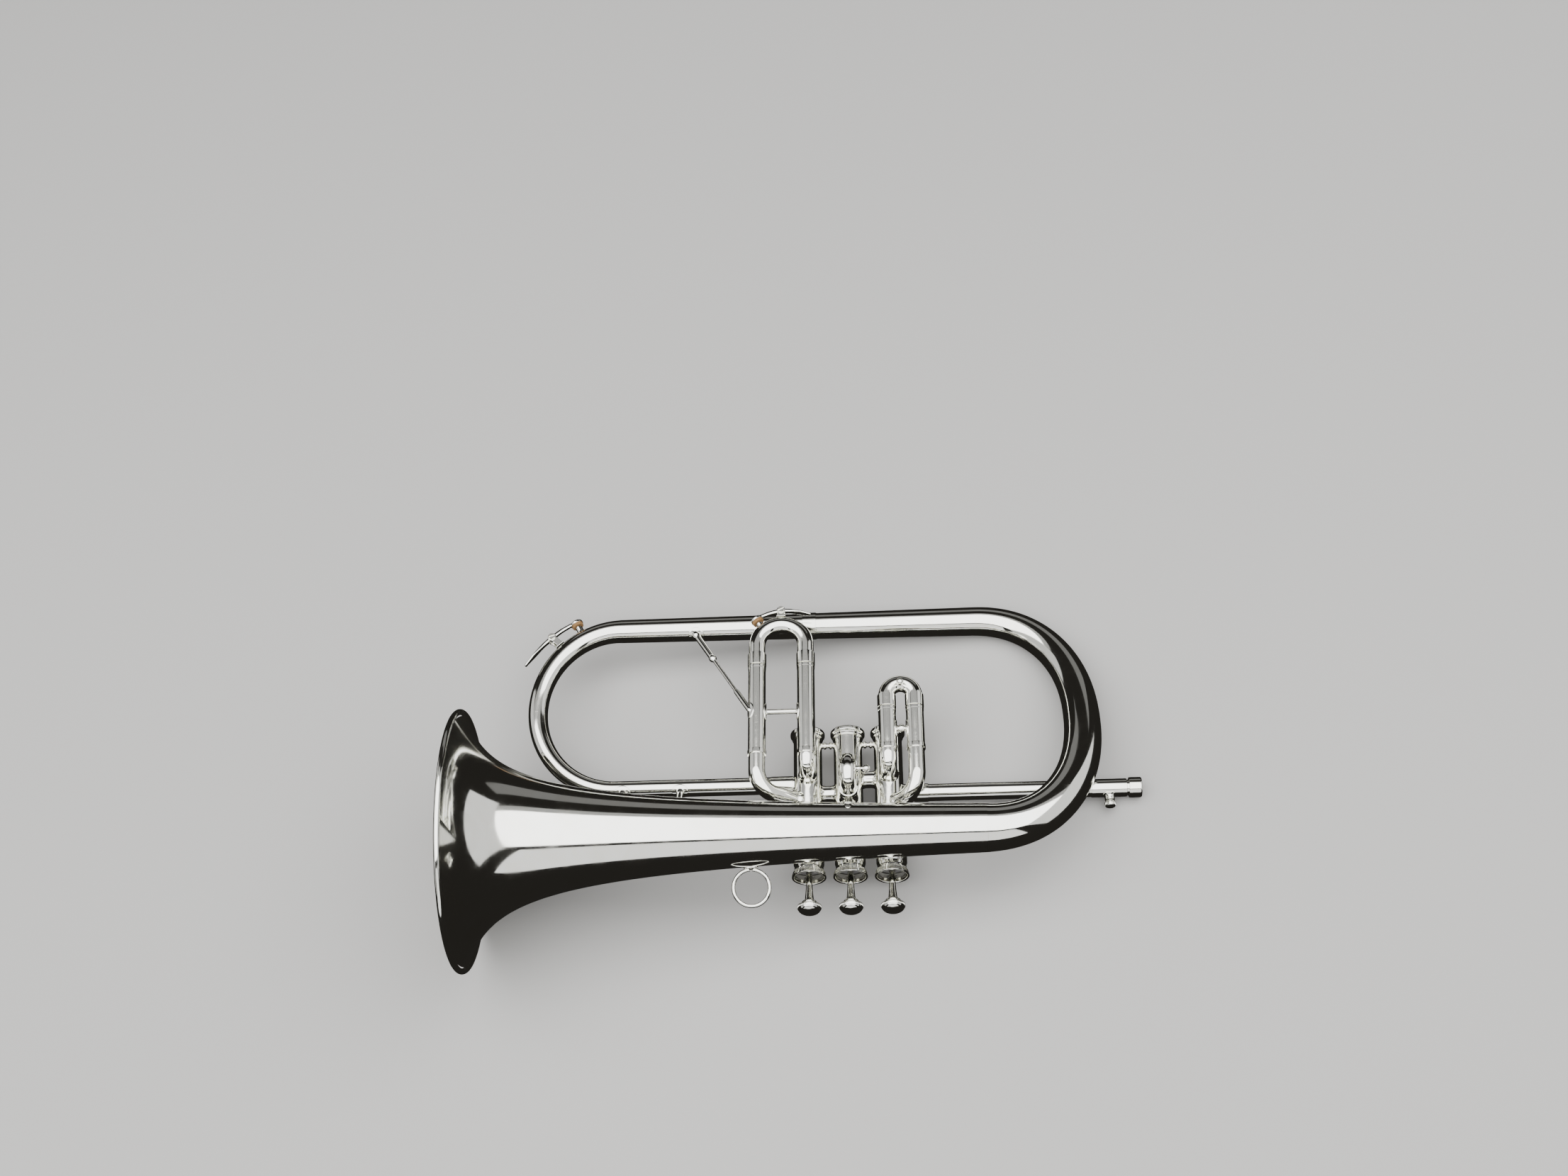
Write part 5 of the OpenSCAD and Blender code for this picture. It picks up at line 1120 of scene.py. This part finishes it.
frontWay = unit([-bows["frontReach"] * math.cos(frontTurn), -frontHalf * math.sin(frontTurn), 0])
frontOut = np.array([frontWay[1], -frontWay[0], 0])
thirdTop = np.array([third["middle"], third["bow"] + third["half"] + tubeR, legZ])
frontTop = frontBowAt(frontTurn) + frontOut * frontBowRadius(frontTurn)
keyPlaces = {
    "third": (thirdTop, (alongX, -alongZ, alongY), "third_slide"),
    "front": (frontTop, (np.cross(frontOut, -alongZ), alongZ, frontOut), "horn"),
}
for name, (origin, axes, holder) in keyPlaces.items():
    saddle, pin, lever, cork = keyShells(origin, axes, keys[name])
    addPiece(f"{name}_key_bracket", saddle, holder, f"{name}_key_saddle")
    addPiece(f"{name}_key_hinge_pin", pin, holder, f"{name}_key_pin")
    addPiece(f"{name}_key_arm", lever, f"{name}_key", f"{name}_key_lever")
    addPiece(f"{name}_key_pad", cork, f"{name}_key", f"{name}_key_cork", keyCork)
print("water keys made")

# Camera: where the photograph was taken from, on the horn's axes
view = {"eye": (17.121, -573.916, 1169.33), "right": (0.998755, -0.00357, -0.049756),
        "down": (-0.029824, -0.84226, -0.538246), "focalPixels": 3028.386,
        "frameWidth": 2212, "sensor": 36.0}
cameraData = bpy.data.cameras.new("camera")
cameraData.sensor_width = view["sensor"]
cameraData.lens = view["focalPixels"] * view["sensor"] / view["frameWidth"]
cameraData.clip_start, cameraData.clip_end = 0.05, 40
camera = show(bpy.data.objects.new("camera", cameraData))
right = hornAxes @ np.array(view["right"])
up = hornAxes @ -np.array(view["down"])
turnTo = np.eye(4)
turnTo[:3, 0], turnTo[:3, 1], turnTo[:3, 2] = right, up, np.cross(right, up)
turnTo[:3, 3] = placed([view["eye"]])[0]
camera.matrix_world = Matrix(turnTo.tolist())
bpy.context.scene.camera = camera

# Stage: a pale floor and backdrop, and the dark world that the metal mirrors
stage = {"floor": 4.0, "floorColour": (0.42, 0.415, 0.405), "world": (0.02, 0.0185, 0.0165),
         "backdrop": 9.0, "paper": (1.0, 0.985, 0.96), "fade": (1.1, 3.4)}
floorMesh = bpy.data.meshes.new("floor")
h = stage["floor"]
floorMesh.from_pydata([(-h, -h, 0), (h, -h, 0), (h, h, 0), (-h, h, 0)], [], [(0, 1, 2, 3)])
floorFinish, floorTree, floorShader = newFinish("floor_paper")
setInputs(floorShader, {"Base Color": (*stage["floorColour"], 1), "Roughness": 0.9,
                        "Emission Color": (*stage["paper"], 1)})
# Away from the lights the floor glows up to the backdrop's tone
floorWhere = addNode(floorTree, "ShaderNodeTexCoord")
floorAway = addNode(floorTree, "ShaderNodeVectorMath", operation="LENGTH")
fadeRange = {"From Min": stage["fade"][0], "From Max": stage["fade"][1]}
floorFade = addNode(floorTree, "ShaderNodeMapRange", fadeRange, interpolation_type="SMOOTHSTEP")
linkAll(floorTree, [
    (floorWhere, "Object", floorAway, 0),
    (floorAway, "Value", floorFade, "Value"),
    (floorFade, "Result", floorShader, "Emission Strength"),
])
floorMesh.materials.append(floorFinish)
floor = show(bpy.data.objects.new("floor", floorMesh))
floor.visible_glossy = False  # the metal mirrors the dark room below it, not the paper

# The backdrop is as pale as the floor, and only the camera sees it
backdropMesh = bpy.data.meshes.new("backdrop")
dome = bmesh.new()
bmesh.ops.create_uvsphere(dome, u_segments=64, v_segments=32, radius=stage["backdrop"])
dome.to_mesh(backdropMesh)
dome.free()
backdropFinish, _, backdropShader = newFinish("backdrop_paper")
setInputs(backdropShader, {"Base Color": (0, 0, 0, 1), "Specular IOR Level": 0.0,
                           "Emission Color": (*stage["paper"], 1), "Emission Strength": 1.0})
backdropMesh.materials.append(backdropFinish)
backdrop = show(bpy.data.objects.new("backdrop", backdropMesh))
for ray in ("diffuse", "glossy", "transmission", "volume_scatter", "shadow"):
    setattr(backdrop, "visible_" + ray, False)

# Light: a broad panel overhead with a dim edge, dimmer ones in front and at the sides, a faint one behind
panels = {
    "overhead": {"place": (0.0, -0.23, 1.8), "faces": (0.0, -0.23, 0.0), "size": (3.9, 2.48), "glow": 4.3},
    "overheadEdge": {"place": (0.0, 1.235, 1.8), "faces": (0.0, 1.235, 0.0), "size": (3.9, 0.44),
                     "glow": 0.45},
    "front": {"place": (0.0, -1.75, 0.92), "faces": (0.0, 0.0, 0.92), "size": (2.8, 1.6), "glow": 1.3},
    "back": {"place": (0.3, 2.4, 0.8), "faces": (0.3, 0.0, 0.4), "size": (3.0, 0.9), "glow": 0.18},
    "left": {"place": (-2.2, 0.1, 1.0), "faces": (0.0, 0.1, 0.4), "size": (3.3, 1.7), "glow": 0.75},
    "right": {"place": (2.2, 0.1, 1.0), "faces": (0.0, 0.1, 0.4), "size": (3.3, 1.7), "glow": 1.0},
}
for name, panel in panels.items():
    data = bpy.data.lights.new(name, "AREA")
    data.shape = "RECTANGLE"
    data.size, data.size_y = panel["size"]
    data.energy = panel["glow"] * math.pi * panel["size"][0] * panel["size"][1]
    lamp = show(bpy.data.objects.new(name, data))
    lamp.location = panel["place"]
    lamp.rotation_mode = "QUATERNION"
    lamp.rotation_quaternion = (Vector(panel["faces"]) - Vector(panel["place"])).to_track_quat("-Z", "Y")
    lamp.visible_camera = False
world = bpy.data.worlds.new("studio")
bpy.context.scene.world = world
world.use_nodes = True
world.node_tree.nodes["Background"].inputs["Color"].default_value = (*stage["world"], 1)
print("stage set")
